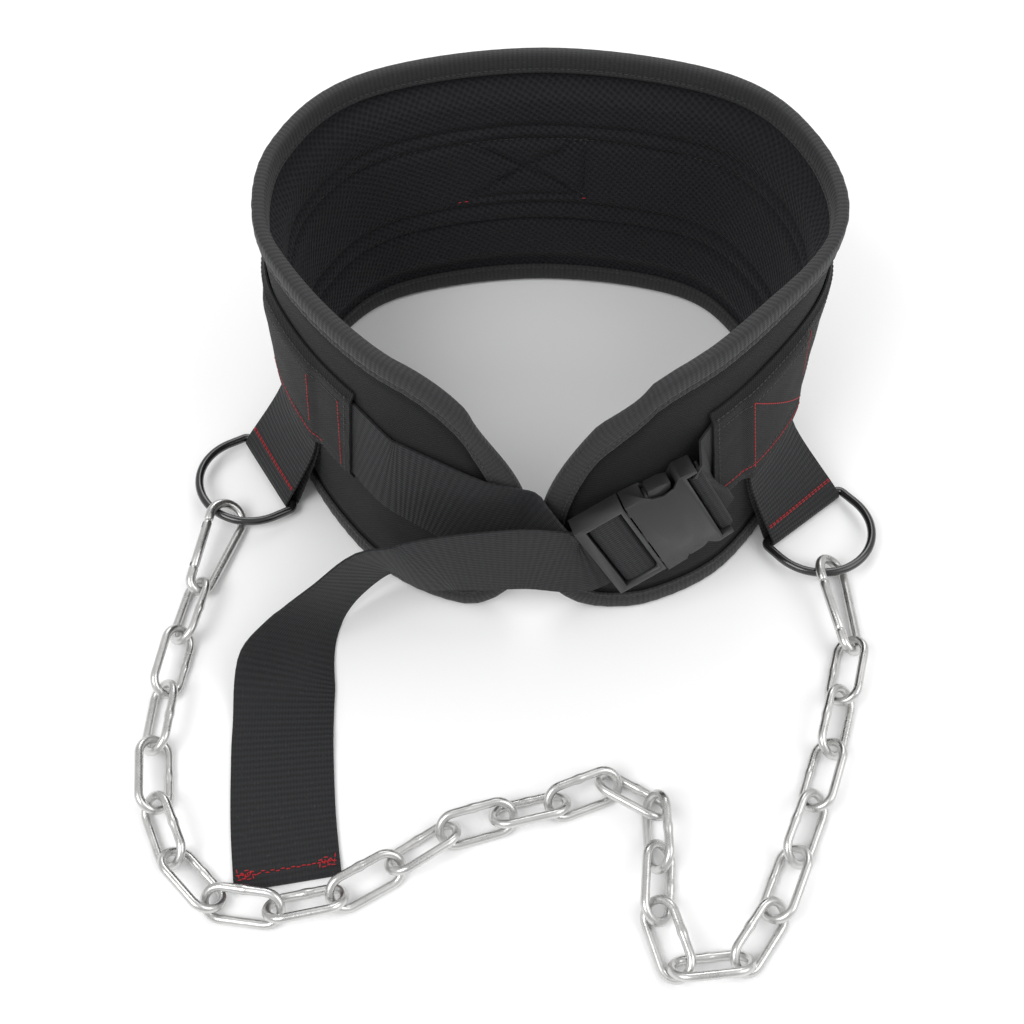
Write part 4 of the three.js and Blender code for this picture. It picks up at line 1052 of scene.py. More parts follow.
    def face_depth(self, along: np.ndarray, up: np.ndarray) -> np.ndarray:
        """Depth of the lining's sewn face behind the wall, at its seams.

        Args:
            along: Distances along the foot from the left tip.
            up: Heights along the face.

        Returns:
            The depths.
        """
        distance = self.outline.inside(along, up)
        return (self.full(distance, self.shell_edge, self.shell_thickness) + CLEARANCE
                + self.full(distance, self.lining_edge, self.lining_thickness) - 0.85)

    def inside_stitches(self) -> bpy.types.Object:
        """Rows of thread along the lining's seams and its sewn box.

        Returns:
            The piece.
        """
        left, right, low, high = BACK_BOX
        ends = [(SEAM_START, h, SEAM_END, h) for h in INSIDE_SEAMS]
        ends += [(left, low, right, low), (left, high, right, high), (left, low, left, high), (right, low, right, high),
                 (left, low, right, high), (left, high, right, low)]
        paths = []
        for x0, y0, x1, y1 in ends:
            share = np.linspace(0, 1, max(int(math.hypot(x1 - x0, y1 - y0) / 3), 8))
            along, up = x0 + (x1 - x0) * share, y0 + (y1 - y0) * share
            paths.append(self.outline.wall.point(along, up, -self.face_depth(along, up)))
        return self.sewing.sew("lining_stitching", paths, LINING_STITCH, self.finishes.black_thread)

    def build(self) -> None:
        """Makes every piece of the padded body and settles it on the belt."""
        shell, lining, tape, thread = self.shell(), self.lining(), self.binding(), self.tape_stitches()
        settle(self.inside_stitches(), ROOT, "lining")
        for piece, node, slot in ((shell, "belt_shell", "shell"), (lining, "belt_lining", "lining"),
                                  (tape, "edge_binding", "tape")):
            settle(piece, ROOT, slot, node)
        settle(thread, ROOT, "tape")
        self.tape_flat()


def settle(piece: bpy.types.Object, body: str, slot: str, *nodes: str) -> None:
    """Puts a piece on its body in the frame.

    Args:
        piece: The finished piece.
        body: The body that it rides on.
        slot: Not used.
        nodes: CAD nodes that it stands for.
    """
    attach(piece, body)
    if nodes:
        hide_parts(*nodes)


# Webbing


@dataclass
class Band:
    """The wide band that is sewn round the belt over the strap."""

    finishes: Finishes
    wall: Wall
    width: float = 63.0
    middle: float = 86.0
    thickness: float = 1.4
    start: float = 105.0
    end_from_tip: float = 96.0
    hem: float = 5.0
    tabs: tuple[float, float] = (163.0, 151.0)
    tab_ramp: float = 7.0
    sewn_rows: tuple[float, float] = (4.0, 10.5)
    groove_width: float = 0.9
    slack: float = 0.22
    slack_pitch: float = 31.0

    def standoff(self, along: np.ndarray, up: np.ndarray) -> np.ndarray:
        """How far the band's inner face stands out from the wall.

        Args:
            along: Distances along the foot from the left tip.
            up: Heights along the face.

        Returns:
            The distances out from the wall.
        """
        flat = STRAP_THICKNESS + 2 * LAYER_GAP
        edge = self.width / 2 - np.abs(up - self.middle)
        over = smoothstep(edge, 0.6, self.hem)
        base = CLEARANCE + (flat - CLEARANCE) * over
        rise = np.zeros(np.shape(along))
        for middle in (self.tabs[0], self.wall.girth - self.tabs[1]):
            away = np.abs(along - middle) - STRAP_WIDTH / 2
            rise = np.maximum(rise, 1 - smoothstep(away, CLEARANCE, CLEARANCE + self.tab_ramp))
        below = 1 - smoothstep(up - self.middle, self.width / 2 - 2 * self.hem, self.width / 2)
        lifted = (flat + STRAP_THICKNESS + LAYER_GAP - base) * rise * below
        return base + lifted

    def surface(self, along: np.ndarray, up: np.ndarray, lift: float) -> np.ndarray:
        """Points over the band's outer face."""
        inner = self.standoff(np.asarray(along, float), np.asarray(up, float))
        return self.wall.point(along, up, inner + self.thickness + lift)

    def build(self) -> None:
        end = self.wall.girth - self.end_from_tip
        along = np.linspace(self.start, end, int((end - self.start) / 2.6))[:, None]
        low, high = self.middle - self.width / 2, self.middle + self.width / 2
        up = np.linspace(low, high, 39)[None]
        edge = np.minimum(up - low, high - up)
        first, second = self.sewn_rows
        groove = 0.35 * hill(edge, first, self.groove_width) + 0.25 * hill(edge, second, self.groove_width)
        soft = self.slack * ripple(along, up, self.slack_pitch) * smoothstep(edge, 3, 12)
        inner = self.standoff(along, up)
        rounded = np.where(edge < 0.9, 0.3, 0.0)
        rear = self.wall.point(along, up, inner + rounded * 0.5)
        front = self.wall.point(along, up, inner + self.thickness - groove + soft - rounded)
        piece = loft("wide_band", np.concatenate([front, rear[:, ::-1]], 1), self.finishes.band, sharp=60)
        settle(piece, ROOT, "webbing", "outer_band")


@dataclass(frozen=True)
class BuckleFrame:
    """The buckle's place: x along the strap to the right, y across it and z out from the belt."""

    turned: np.ndarray = field(default_factory=lambda: Frame.matrix(
        (24.003, -113.214, 54.566), (0.85305, 0.33057, 0.40376), (-0.44423, 0.05409, 0.89428)))
    length: float = 64.0
    bend: float = 1.0
    under: float = 1.0
    back: float = 2.7
    over: float = 7.9
    first_slot: float = 6.4
    second_slot: float = 22.5
    socket_slot: float = 59.4
    bar_high: float = 7.3

    def lock_path(self) -> list[tuple[float, float]]:
        """The left strap's way through the ladder lock, as x and z.

        Returns:
            The path's corners.
        """
        b = self.bend
        return [(-8, self.under), (self.second_slot - b, self.under), (self.second_slot, self.under + b),
                (self.second_slot, self.over - b), (self.second_slot - b, self.over), (self.first_slot + b, self.over),
                (self.first_slot, self.over - b), (self.first_slot, self.back + b), (self.first_slot - b, self.back),
                (-6, self.back + 0.5)]

    def loop_path(self) -> list[tuple[float, float]]:
        """The right strap's loop round the socket's end bar, as x and z.

        Returns:
            The path's corners.
        """
        b, low = self.bend, self.under + 0.6
        over = self.bar_high + CLEARANCE + STRAP_THICKNESS / 2 + 0.1
        far = self.length + 1.4
        return [(self.length, low), (self.socket_slot + b, low), (self.socket_slot, low + b),
                (self.socket_slot, over - b), (self.socket_slot + b, over), (far - b, over), (far, over - b),
                (far, self.back + 1.4)]


@dataclass
class Strap:
    """A flat strap through stations of centre, line across and normal."""

    name: str
    centres: np.ndarray
    across: np.ndarray
    facing: float
    counts: list[int]
    off_floor: float = 0.08

    def path(self) -> tuple[np.ndarray, np.ndarray, np.ndarray]:
        """The strap's dense middle line.

        Returns:
            Centres, half lines across and outward normals.
        """
        dense = bend_through(np.hstack([self.centres, self.across]), self.counts)
        centre, across = dense[:, :3], dense[:, 3:]
        run = np.gradient(centre, axis=0)
        run /= np.maximum(np.linalg.norm(run, axis=1), 1e-9)[:, None]
        half = np.linalg.norm(across, axis=1)
        square = across - run * (across * run).sum(1)[:, None]
        square = unit(square)
        normal = np.cross(run, square) * self.facing
        return centre, square * half[:, None], normal

    def length(self) -> float:
        """Length of the middle line."""
        return float(steps_of(self.path()[0]).sum())

    def surface(self, distance: np.ndarray, share: np.ndarray, lift: float) -> np.ndarray:
        """Points on the strap's face, measured back from its last end.

        Args:
            distance: Distance from the end.
            share: Place across, from -1 to 1.
            lift: Height over the outer face; less than minus the thickness lies beyond the inner one.

        Returns:
            The points.
        """
        centre, across, normal = self.path()
        run = run_along(centre)
        at = run[-1] - np.asarray(distance, float)
        take = lambda rows: np.stack([np.interp(at, run, rows[:, k]) for k in range(3)], 1)
        half = STRAP_THICKNESS / 2
        return take(centre) + take(across) * np.asarray(share, float)[:, None] + take(normal) * (half + lift)

    def build(self, material: bpy.types.Material) -> bpy.types.Object:
        """Makes the strap's mesh.

        Args:
            material: Its finish.

        Returns:
            The piece.
        """
        centre, across, normal = self.path()
        half = STRAP_WIDTH / 2
        spread, side = rounded_section(np.linspace(-half, half, 17), STRAP_THICKNESS)
        share = spread / half
        points = centre[:, None] + across[:, None] * share[None, :, None] + normal[:, None] * side[None, :, None]
        lowest = points[..., 2].min(1)
        points[..., 2] += np.clip(self.off_floor - lowest, 0, None)[:, None]
        LOG.info("%s runs %.0f mm", self.name, self.length())
        return loft(self.name, points, material, sharp=60)


@dataclass
class WaistStraps:
    """The two runs of the waist strap and the free end."""

    finishes: Finishes
    wall: Wall
    buckle: BuckleFrame
    band: Band

    def on_wall(self, along: np.ndarray, up: np.ndarray, out: np.ndarray, half: float) -> tuple[np.ndarray, np.ndarray]:
        """Stations on the wall.

        Args:
            along: Distances along it.
            up: Heights.
            out: Distances out.
            half: Half of the strap's width.

        Returns:
            Centres and half lines across.
        """
        centre = self.wall.point(along, up, out)
        above = self.wall.point(along, np.asarray(up) + 1, out) - centre
        return centre, above * half

    def in_buckle(self, path: list[tuple[float, float]]) -> tuple[np.ndarray, np.ndarray]:
        """Stations on a path in the buckle's own x and z.

        Args:
            path: The path's corners, as x and z.

        Returns:
            Centres, and lines to one edge.
        """
        local = np.array([(x, 0.0, z) for x, z in path])
        half = STRAP_WIDTH / 2 - CLEARANCE
        across = np.tile(self.buckle.turned[:3, 1] * half, (len(local), 1))
        return Frame.carry(self.buckle.turned, local), across

    def counts(self, centres: np.ndarray, step: float) -> list[int]:
        """How finely each stretch between stations is cut."""
        return [int(np.clip(math.ceil(length / step), 2 if length > 3 else 3, MAX_CUT)) for length in steps_of(centres)]

    def left(self) -> Strap:
        """The left run from the middle of the back, through the ladder lock, to the free end.

        Returns:
            The left strap.
        """
        half = STRAP_WIDTH / 2
        back = np.linspace(self.wall.girth / 2 - 0.15, self.band.start, 34)
        hidden = self.on_wall(back, np.full(34, self.band.middle), np.full(34, LAYER_GAP + 0.7), half)
        rows = np.array(FRONT_RUN)
        shown = self.on_wall(rows[:, 0], rows[:, 1] * self.band.middle, rows[:, 2] * STRAP_THICKNESS, half * 1.04)
        locked = self.in_buckle(self.buckle.lock_path())
        free = np.array(FREE_END)
        rise, heading = np.radians(free[:, 3]), np.radians(free[:, 4])
        across = np.stack([np.cos(rise) * np.cos(heading), np.cos(rise) * np.sin(heading), np.sin(rise)], 1) * half
        ends = np.stack([-free[:, 0] * FREE_END_SIDE, -free[:, 1] * FREE_END_FRONT, free[:, 2] * STRAP_WIDTH], 1)
        centres = np.vstack([hidden[0], shown[0], locked[0], ends])
        lines = np.vstack([hidden[1], shown[1], locked[1], across])
        return Strap("left_strap", centres, lines, 1.0, self.counts(centres, 4.0))

    def right(self) -> Strap:
        """The right run from the middle of the back to the loop round the socket's bar.

        Returns:
            The right strap.
        """
        half = STRAP_WIDTH / 2
        back = np.linspace(self.wall.girth / 2 + 0.15, self.wall.girth - self.band.end_from_tip + 2, 34)
        hidden = self.on_wall(back, np.full(34, self.band.middle), np.full(34, LAYER_GAP + 0.7), half)
        looped = self.in_buckle(self.buckle.loop_path())
        centres, lines = np.vstack([hidden[0], looped[0]]), np.vstack([hidden[1], looped[1]])
        return Strap("right_strap", centres, lines, -1.0, self.counts(centres, 4.0))

    def build(self) -> Strap:
        """Makes and settles both runs, and returns the left one.

        Returns:
            The left strap, which the red rows are sewn on.
        """
        left, right = self.left(), self.right()
        for strap, node, rests in ((left, "waist_strap_left", ["shell_cloth", "tongue_moulding"]),
                                   (right, "waist_strap_right", ["shell_cloth", "socket_moulding"])):
            piece = strap.build(self.finishes.webbing)
            settle(piece, ROOT, "webbing", node)
            strap.length() * MM
        return left


@dataclass
class RingTab:
    """A webbing tab that runs down the wall and round a D ring's bar."""

    side: str
    middle: float
    turned: np.ndarray
    wall: Wall
    finishes: Finishes
    wire: float = 4.5
    top: float = 104.0
    leaves_wall: float = 46.0
    band_middle: float = 86.0

    def column(self, along: float, offset: float) -> np.ndarray:
        """One line of points down the tab and back up behind it.

        Args:
            along: Distance along the wall.
            offset: Distance from the webbing's middle.

        Returns:
            The points.
        """
        outer = 2 * LAYER_GAP + STRAP_THICKNESS * 1.5
        inner = LAYER_GAP + STRAP_THICKNESS / 2
        radius = self.wire / 2 + LAYER_GAP + STRAP_THICKNESS / 2 + offset
        face = [self.wall.point(along, up, outer + offset) for up in (self.top, 84.0, 65.0, self.leaves_wall)]
        angle = np.radians([66, 100, 140, 180, 216, 250])
        bar = np.stack([np.full(6, along - self.middle), radius * np.sin(angle), radius * np.cos(angle)], 1)
        behind = [self.wall.point(along, up, inner + offset)
                  for up in (self.leaves_wall - 2, self.band_middle - STRAP_WIDTH / 2 - 3)]
        return np.vstack([face, Frame.carry(self.turned, bar), behind])

    def dense(self, along: float, offset: float) -> np.ndarray:
        """The same line, smoothed."""
        points = self.column(along, offset)
        return bend_through(points, [4, 4, 4, 9, 4, 4, 4, 4, 4, 9, 4])

    def build(self) -> list[np.ndarray]:
        """Returns:
            The paths, one for each row.
        """
        spread, side = rounded_section(np.linspace(-STRAP_WIDTH / 2, STRAP_WIDTH / 2, 15), STRAP_THICKNESS)
        lines = np.stack([self.dense(self.middle + a, s) for a, s in zip(spread, side)], 1)
        piece = loft(f"{self.side}_tab", lines, self.finishes.webbing, sharp=60)
        settle(piece, ROOT, "webbing", f"ring_tab_{self.side}")
        length = float(steps_of(self.dense(self.middle, 0.0)).sum())
        return [self.tack(above) for above in TACK_ROWS]

    def tack(self, above: float) -> np.ndarray:
        """A line across the tab, a distance above the ring's bar.

        Args:
            above: Distance above the bar.

        Returns:
            The line's points.
        """
        rows = []
        for across in np.linspace(-23, 23, 24):
            line = self.dense(self.middle + across, STRAP_THICKNESS / 2 + 0.15)[12:22]
            away = np.linalg.norm(line - line[-1], axis=1)
            rows.append([np.interp(-above, -away, line[:, k]) for k in range(3)])
        return np.array(rows)


# Metal


@dataclass
class DRing:
    """A D ring of black wire."""

    side: str
    turned: np.ndarray
    finishes: Finishes
    inside: float = 52.0
    height: float = 45.0
    wire: float = 4.5
    corner: float = 3.4

    def build(self) -> None:
        """Makes the ring."""
        half, bow = (self.inside + self.wire) / 2, self.height - self.wire
        c, shoulder = self.corner, bow * 0.3
        path = np.vstack([arc((half - c, c), (c, c), -90, 0, 7), arc((0, shoulder), (half, bow - shoulder), 0, 180, 56),
                          arc((c - half, c), (c, c), 180, 270, 7),
                          np.stack([np.linspace(c - half, half - c, 14)[1:-1], np.zeros(12), np.zeros(12)], 1)])
        loops = flat_wire(path, self.wire / 2, 18, True)
        piece = loft(f"{self.side}_ring", Frame.carry(self.turned, loops), self.finishes.black_wire, closed=True)
        settle(piece, ROOT, "gunmetal", f"d_ring_{self.side}")


@dataclass
class SnapHook:
    """A pear shaped wire hook with a hinged gate."""

    side: str
    turned: np.ndarray
    finishes: Finishes
    length: float = 58.0
    wide: float = 24.0
    narrow: float = 16.6
    wire: float = 5.0
    gate_start: float = 6.2
    gate_length: float = 26.0
    tongue: float = 1.7
    pin: float = 1.8

    def __post_init__(self) -> None:
        """Works out the hook's arcs and its gate's frame."""
        self.wide_radius, self.narrow_radius = (self.wide - self.wire) / 2, (self.narrow - self.wire) / 2
        self.wide_centre = self.wire / 2 + self.wide_radius
        self.narrow_centre = self.length - self.wire / 2 - self.narrow_radius
        self.slope = math.asin((self.wide_radius - self.narrow_radius) / (self.narrow_centre - self.wide_centre))
        c, s = math.cos(self.slope), math.sin(self.slope)
        start = (self.wide_centre + self.wide_radius * s, self.wide_radius * c, 0)
        self.gate = Frame.matrix(start, (c, -s, 0), (s, c, 0))

    def body(self) -> None:
        """The bent wire with its two tongues."""
        lean, radius = math.degrees(self.slope), self.wire / 2
        start = Frame.carry(self.gate, [[self.gate_start - radius - CLEARANCE - 0.1, 0, 0]])
        end = Frame.carry(self.gate, [[self.gate_start + self.gate_length + CLEARANCE + 0.1, 0, 0]])
        wide = arc((self.wide_centre, 0), (self.wide_radius, self.wide_radius), 90 - lean, 270 + lean, 40)
        narrow = arc((self.narrow_centre, 0), (self.narrow_radius, self.narrow_radius), -90 + lean, 90 - lean, 26)
        side = wide[-1] + (narrow[0] - wide[-1]) * np.linspace(0, 1, 18)[1:-1, None]
        last = narrow[-1] + (end - narrow[-1]) * np.linspace(0, 1, 6)[1:, None]
        path = np.vstack([start, wide, side, narrow, last])
        piece = loft(f"{self.side}_hook_wire", Frame.carry(self.turned, flat_wire(path, radius, 18, False, True)),
                     self.finishes.zinc)
        half, tall = self.tongue / 2, radius * 0.7
        for low, high in ((-1.0, self.gate_start + 2.2), (self.gate_start + self.gate_length - 1.6,
                                                          self.gate_start + self.gate_length + 2.5)):
            add_block(piece, self.turned @ self.gate, (low, -tall, -half), (high, tall, half), 0.35)
        settle(piece, ROOT, "zinc", f"hook_body_{self.side}")

    def latch(self) -> None:
        """The gate: a rod with a slot at each end and its hinge pin."""
        radius = self.wire / 2
        profile = [(-radius, 0.02), (-0.92 * radius, 0.4 * radius), (-0.7 * radius, 0.72 * radius),
                   (-0.35 * radius, 0.94 * radius), (0, radius), (6, radius), (14, radius),
                   (self.gate_length - 1.0, radius), (self.gate_length - 0.3, 0.86 * radius),
                   (self.gate_length, 0.6 * radius), (self.gate_length, 0.02)]
        angle = np.linspace(0, 2 * math.pi, 20, endpoint=False)
        loops = np.array([[(x, r * math.cos(a), r * math.sin(a)) for a in angle] for x, r in profile])
        shift = np.eye(4)
        shift[0, 3] = self.gate_start
        turned = self.turned @ self.gate @ shift
        piece = loft(f"{self.side}_hook_gate", Frame.carry(turned, loops), self.finishes.zinc)
        half = self.tongue / 2 + CLEARANCE
        for low, high in ((-radius - 1, 3.2), (self.gate_length - 2.4, self.gate_length + 1)):
            cut_block(piece, turned, (low, -self.wire, -half), (high, self.wire, half))
        reach = self.wire * 0.84 / 2
        ends = np.array([[(r * math.cos(a), r * math.sin(a), z) for a in angle] for z, r in
                         ((-reach - 0.25, 0.3), (-reach - 0.2, 0.8), (-reach, 1.0), (-reach + 0.2, self.pin / 2),
                          (reach - 0.2, self.pin / 2), (reach, 1.0), (reach + 0.2, 0.8), (reach + 0.25, 0.3))])
        rivet = loft("rivet", Frame.carry(turned, ends), self.finishes.zinc)
        join(piece, rivet)
        settle(piece, f"gate_{self.side}", "zinc", f"hook_gate_{self.side}")

    def build(self) -> None:
        """Makes the hook's two pieces."""
        self.body()
        self.latch()


def block_mesh(matrix: np.ndarray, low: Sequence[float], high: Sequence[float], bevel: float) -> bpy.types.Object:
    """A block in a piece's own frame, with its edges rounded.

    Args:
        matrix: The frame.
        low: Its lowest corner.
        high: Its highest corner.
        bevel: How much its edges are rounded.

    Returns:
        The block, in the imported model's frame.
    """
    made = bmesh.new()
    bmesh.ops.create_cube(made, size=1.0)
    low, high = np.array(low, float), np.array(high, float)
    for vertex in made.verts:
        vertex.co = Vector(low + (np.array(vertex.co) + 0.5) * (high - low))
    if bevel > 0:
        bmesh.ops.bevel(made, geom=list(made.edges), offset=bevel, segments=2, affect="EDGES", profile=0.5)
    for vertex in made.verts:
        vertex.co = Vector(Frame.place(Frame.carry(matrix, np.array(vertex.co))))
    bmesh.ops.recalc_face_normals(made, faces=made.faces)
    mesh = bpy.data.meshes.new("block")
    made.to_mesh(mesh)
    made.free()
    piece = bpy.data.objects.new("block", mesh)
    bpy.context.scene.collection.objects.link(piece)
    return piece


def join(piece: bpy.types.Object, *others: bpy.types.Object) -> None:
    """Adds other meshes to a piece, and removes their objects.

    Args:
        piece: The piece that stays.
        others: What it takes in.
    """
    merged = bmesh.new()
    merged.from_mesh(piece.data)
    for other in others:
        merged.from_mesh(other.data)
    merged.to_mesh(piece.data)
    merged.free()
    for other in others:
        bpy.data.objects.remove(other)


def add_block(piece: bpy.types.Object, matrix: np.ndarray, low: Sequence[float], high: Sequence[float],
              bevel: float) -> None:
    """Joins a rounded block to a piece."""
    join(piece, block_mesh(matrix, low, high, bevel))


def baked(piece: bpy.types.Object) -> None:
    """Turns a piece's modifiers into its mesh.

    Args:
        piece: The piece.
    """
    bpy.context.view_layer.update()
    evaluated = piece.evaluated_get(bpy.context.evaluated_depsgraph_get())
    mesh = bpy.data.meshes.new_from_object(evaluated)
    piece.modifiers.clear()
    piece.data = mesh


def cut_block(piece: bpy.types.Object, matrix: np.ndarray, low: Sequence[float], high: Sequence[float]) -> None:
    """Cuts a block out of a piece.

    Args:
        piece: The piece.
        matrix: The frame that the block is made in.
        low: Its lowest corner.
        high: Its highest corner.
    """
    tool = block_mesh(matrix, low, high, 0.0)
    cut = piece.modifiers.new("Slot", "BOOLEAN")
    cut.operation, cut.solver, cut.object = "DIFFERENCE", "EXACT", tool
    baked(piece)
    bpy.data.objects.remove(tool)


@dataclass
class Chain:
    """The welded chain on the floor, laid by a node tree from one point for each link."""

    finishes: Finishes
    length: float = 40.0
    width: float = 20.0
    wire: float = 4.2
    roll: float = 40.0
    weld_reach: float = 3.2
    weld_swell: float = 0.16

    def tree(self) -> tuple[bpy.types.NodeTree, dict[str, str]]:
        """Builds the tree.

        Returns:
            The tree and its inputs' identifiers by name.
        """
        inputs = {"Bend Radius": "Float", "Half Straight": "Float", "Wire Radius": "Float", "Weld": "Float",
                  "Metal": "Material"}
        nodes, given, ids = open_tree("Welded chain", "Links", inputs, "Chain")
        circle = nodes.add("GeometryNodeCurvePrimitiveCircle",
                           {"Resolution": 62, "Radius": given["Bend Radius"]}).outputs[0]
        place = nodes.add("ShaderNodeSeparateXYZ", {"Vector": nodes.add("GeometryNodeInputPosition").outputs[0]})
        shift = nodes.math("MULTIPLY", nodes.math("SIGN", place.outputs["X"]), given["Half Straight"])
        offset = nodes.add("ShaderNodeCombineXYZ", {"X": shift}).outputs[0]
        long = nodes.add("GeometryNodeSetPosition", {"Geometry": circle, "Offset": offset}).outputs[0]
        even = nodes.add("GeometryNodeResampleCurve", {"Curve": long, "Count": 60}, mode="COUNT").outputs[0]
        here = nodes.add("ShaderNodeSeparateXYZ", {"Vector": nodes.add("GeometryNodeInputPosition").outputs[0]})
        near = nodes.add("ShaderNodeMapRange", {"Value": nodes.math("ABSOLUTE", here.outputs["X"]), "From Min": 0.0,
                                                "From Max": self.weld_reach * MM, "To Min": 1.0, "To Max": 0.0},
                         interpolation_type="SMOOTHSTEP").outputs[0]
        upper = nodes.math("GREATER_THAN", here.outputs["Y"], 0.0)
        bead = nodes.math("MULTIPLY", nodes.math("MULTIPLY", near, upper), given["Weld"])
        size = nodes.math("ADD", bead, 1.0)
        profile = nodes.add("GeometryNodeCurvePrimitiveCircle",
                            {"Resolution": 14, "Radius": given["Wire Radius"]}).outputs[0]
        sized = nodes.add("GeometryNodeSetCurveRadius", {"Curve": even, "Radius": size}).outputs[0]
        swept = nodes.add("GeometryNodeCurveToMesh", {"Curve": sized, "Profile Curve": profile})
        if "Scale" in swept.inputs:
            nodes.tree.links.new(nodes.add("GeometryNodeInputRadius").outputs[0], swept.inputs["Scale"])
        axes = [nodes.add("GeometryNodeInputNamedAttribute", {"Name": name},
                          data_type="FLOAT_VECTOR").outputs["Attribute"] for name in ("ahead", "across")]
        turn = nodes.add("FunctionNodeAxesToRotation", {"Primary Axis": axes[0], "Secondary Axis": axes[1]},
                         primary_axis="X", secondary_axis="Y").outputs[0]
        close_tree(nodes, given["Links"], swept.outputs[0], turn, given["Metal"], "Chain")
        return nodes.tree, ids

    def places(self) -> tuple[np.ndarray, np.ndarray, np.ndarray]:
        """Each link's centre, direction and line across.

        Returns:
            Three tables with a row for each link.
        """
        joints = np.array(CHAIN_JOINTS)
        rows = []
        for i in range(len(joints) - 1):
            roll = math.radians(LINK_ROLLS.get(i + 1, self.roll if i % 2 == 0 else -self.roll))
            ahead = joints[i + 1] - joints[i]
            ahead /= np.linalg.norm(ahead)
            across = (-ahead[1] * math.cos(roll), ahead[0] * math.cos(roll), math.sin(roll))
            height = self.wire / 2 + (self.width - self.wire) / 2 * abs(math.sin(roll))
            rows.append(((*((joints[i] + joints[i + 1]) / 2), height), (*ahead, 0.0), across))
        return tuple(np.array([row[k] for row in rows]) for k in range(3))

    def build(self) -> None:
        """Makes the whole chain, which stands for every link of the CAD."""
        centres, ahead, across = self.places()
        mesh = bpy.data.meshes.new("links")
        mesh.from_pydata(Frame.place(centres).tolist(), [], [])
        for name, rows in (("ahead", ahead), ("across", across)):
            layer = mesh.attributes.new(name, "FLOAT_VECTOR", "POINT")
            layer.data.foreach_set("vector", rows.astype(np.float32).ravel())
        tree, ids = self.tree()
        bend = (self.width - self.wire) / 2
        values = {"Bend Radius": bend * MM, "Half Straight": ((self.length - self.wire) / 2 - bend) * MM,
                  "Wire Radius": self.wire / 2 * MM, "Weld": self.weld_swell, "Metal": self.finishes.zinc}
        piece = made_by_tree("chain_links", mesh, tree, {ids[k]: v for k, v in values.items()})
        settle(piece, ROOT, "zinc", *(f"chain_link_{k + 1:02d}" for k in range(len(centres))))


# Buckle


@dataclass
class Buckle:
    """The side release buckle: rounded mouldings over the two solids."""

    finishes: Finishes
    bevel: float = 0.55

    def moulding(self, name: str, node: str) -> bpy.types.Object:
        """One half of the buckle with its edges rounded.

        Args:
            name: The piece's name.
            node: The CAD node whose form it takes.

        Returns:
            The moulding.
        """
        made = bmesh.new()
        made.from_mesh(frame["nodes"][node].data)
        bmesh.ops.remove_doubles(made, verts=made.verts, dist=0.00003)
        bmesh.ops.dissolve_limit(made, angle_limit=math.radians(1.0), verts=made.verts, edges=made.edges)
        mesh = bpy.data.meshes.new(name)
        made.to_mesh(mesh)
        made.free()
        mesh.materials.clear()
        piece = finished_object(name, mesh, self.finishes.plastic)
        edges = piece.modifiers.new("Rounded", "BEVEL")
        edges.width, edges.segments, edges.limit_method = self.bevel * MM, 3, "ANGLE"
        edges.angle_limit, edges.harden_normals = math.radians(28), True
        baked(piece)
        piece.data.polygons.foreach_set("use_smooth", [True] * len(piece.data.polygons))
        piece.data.set_sharp_from_angle(angle=math.radians(40))
        return piece

    def build(self) -> None:
        """Makes and settles both halves."""
        for name, node in (("tongue_moulding", "buckle_tongue"), ("socket_moulding", "buckle_socket")):
            settle(self.moulding(name, node), ROOT, "plastic", node)


# Red stitching


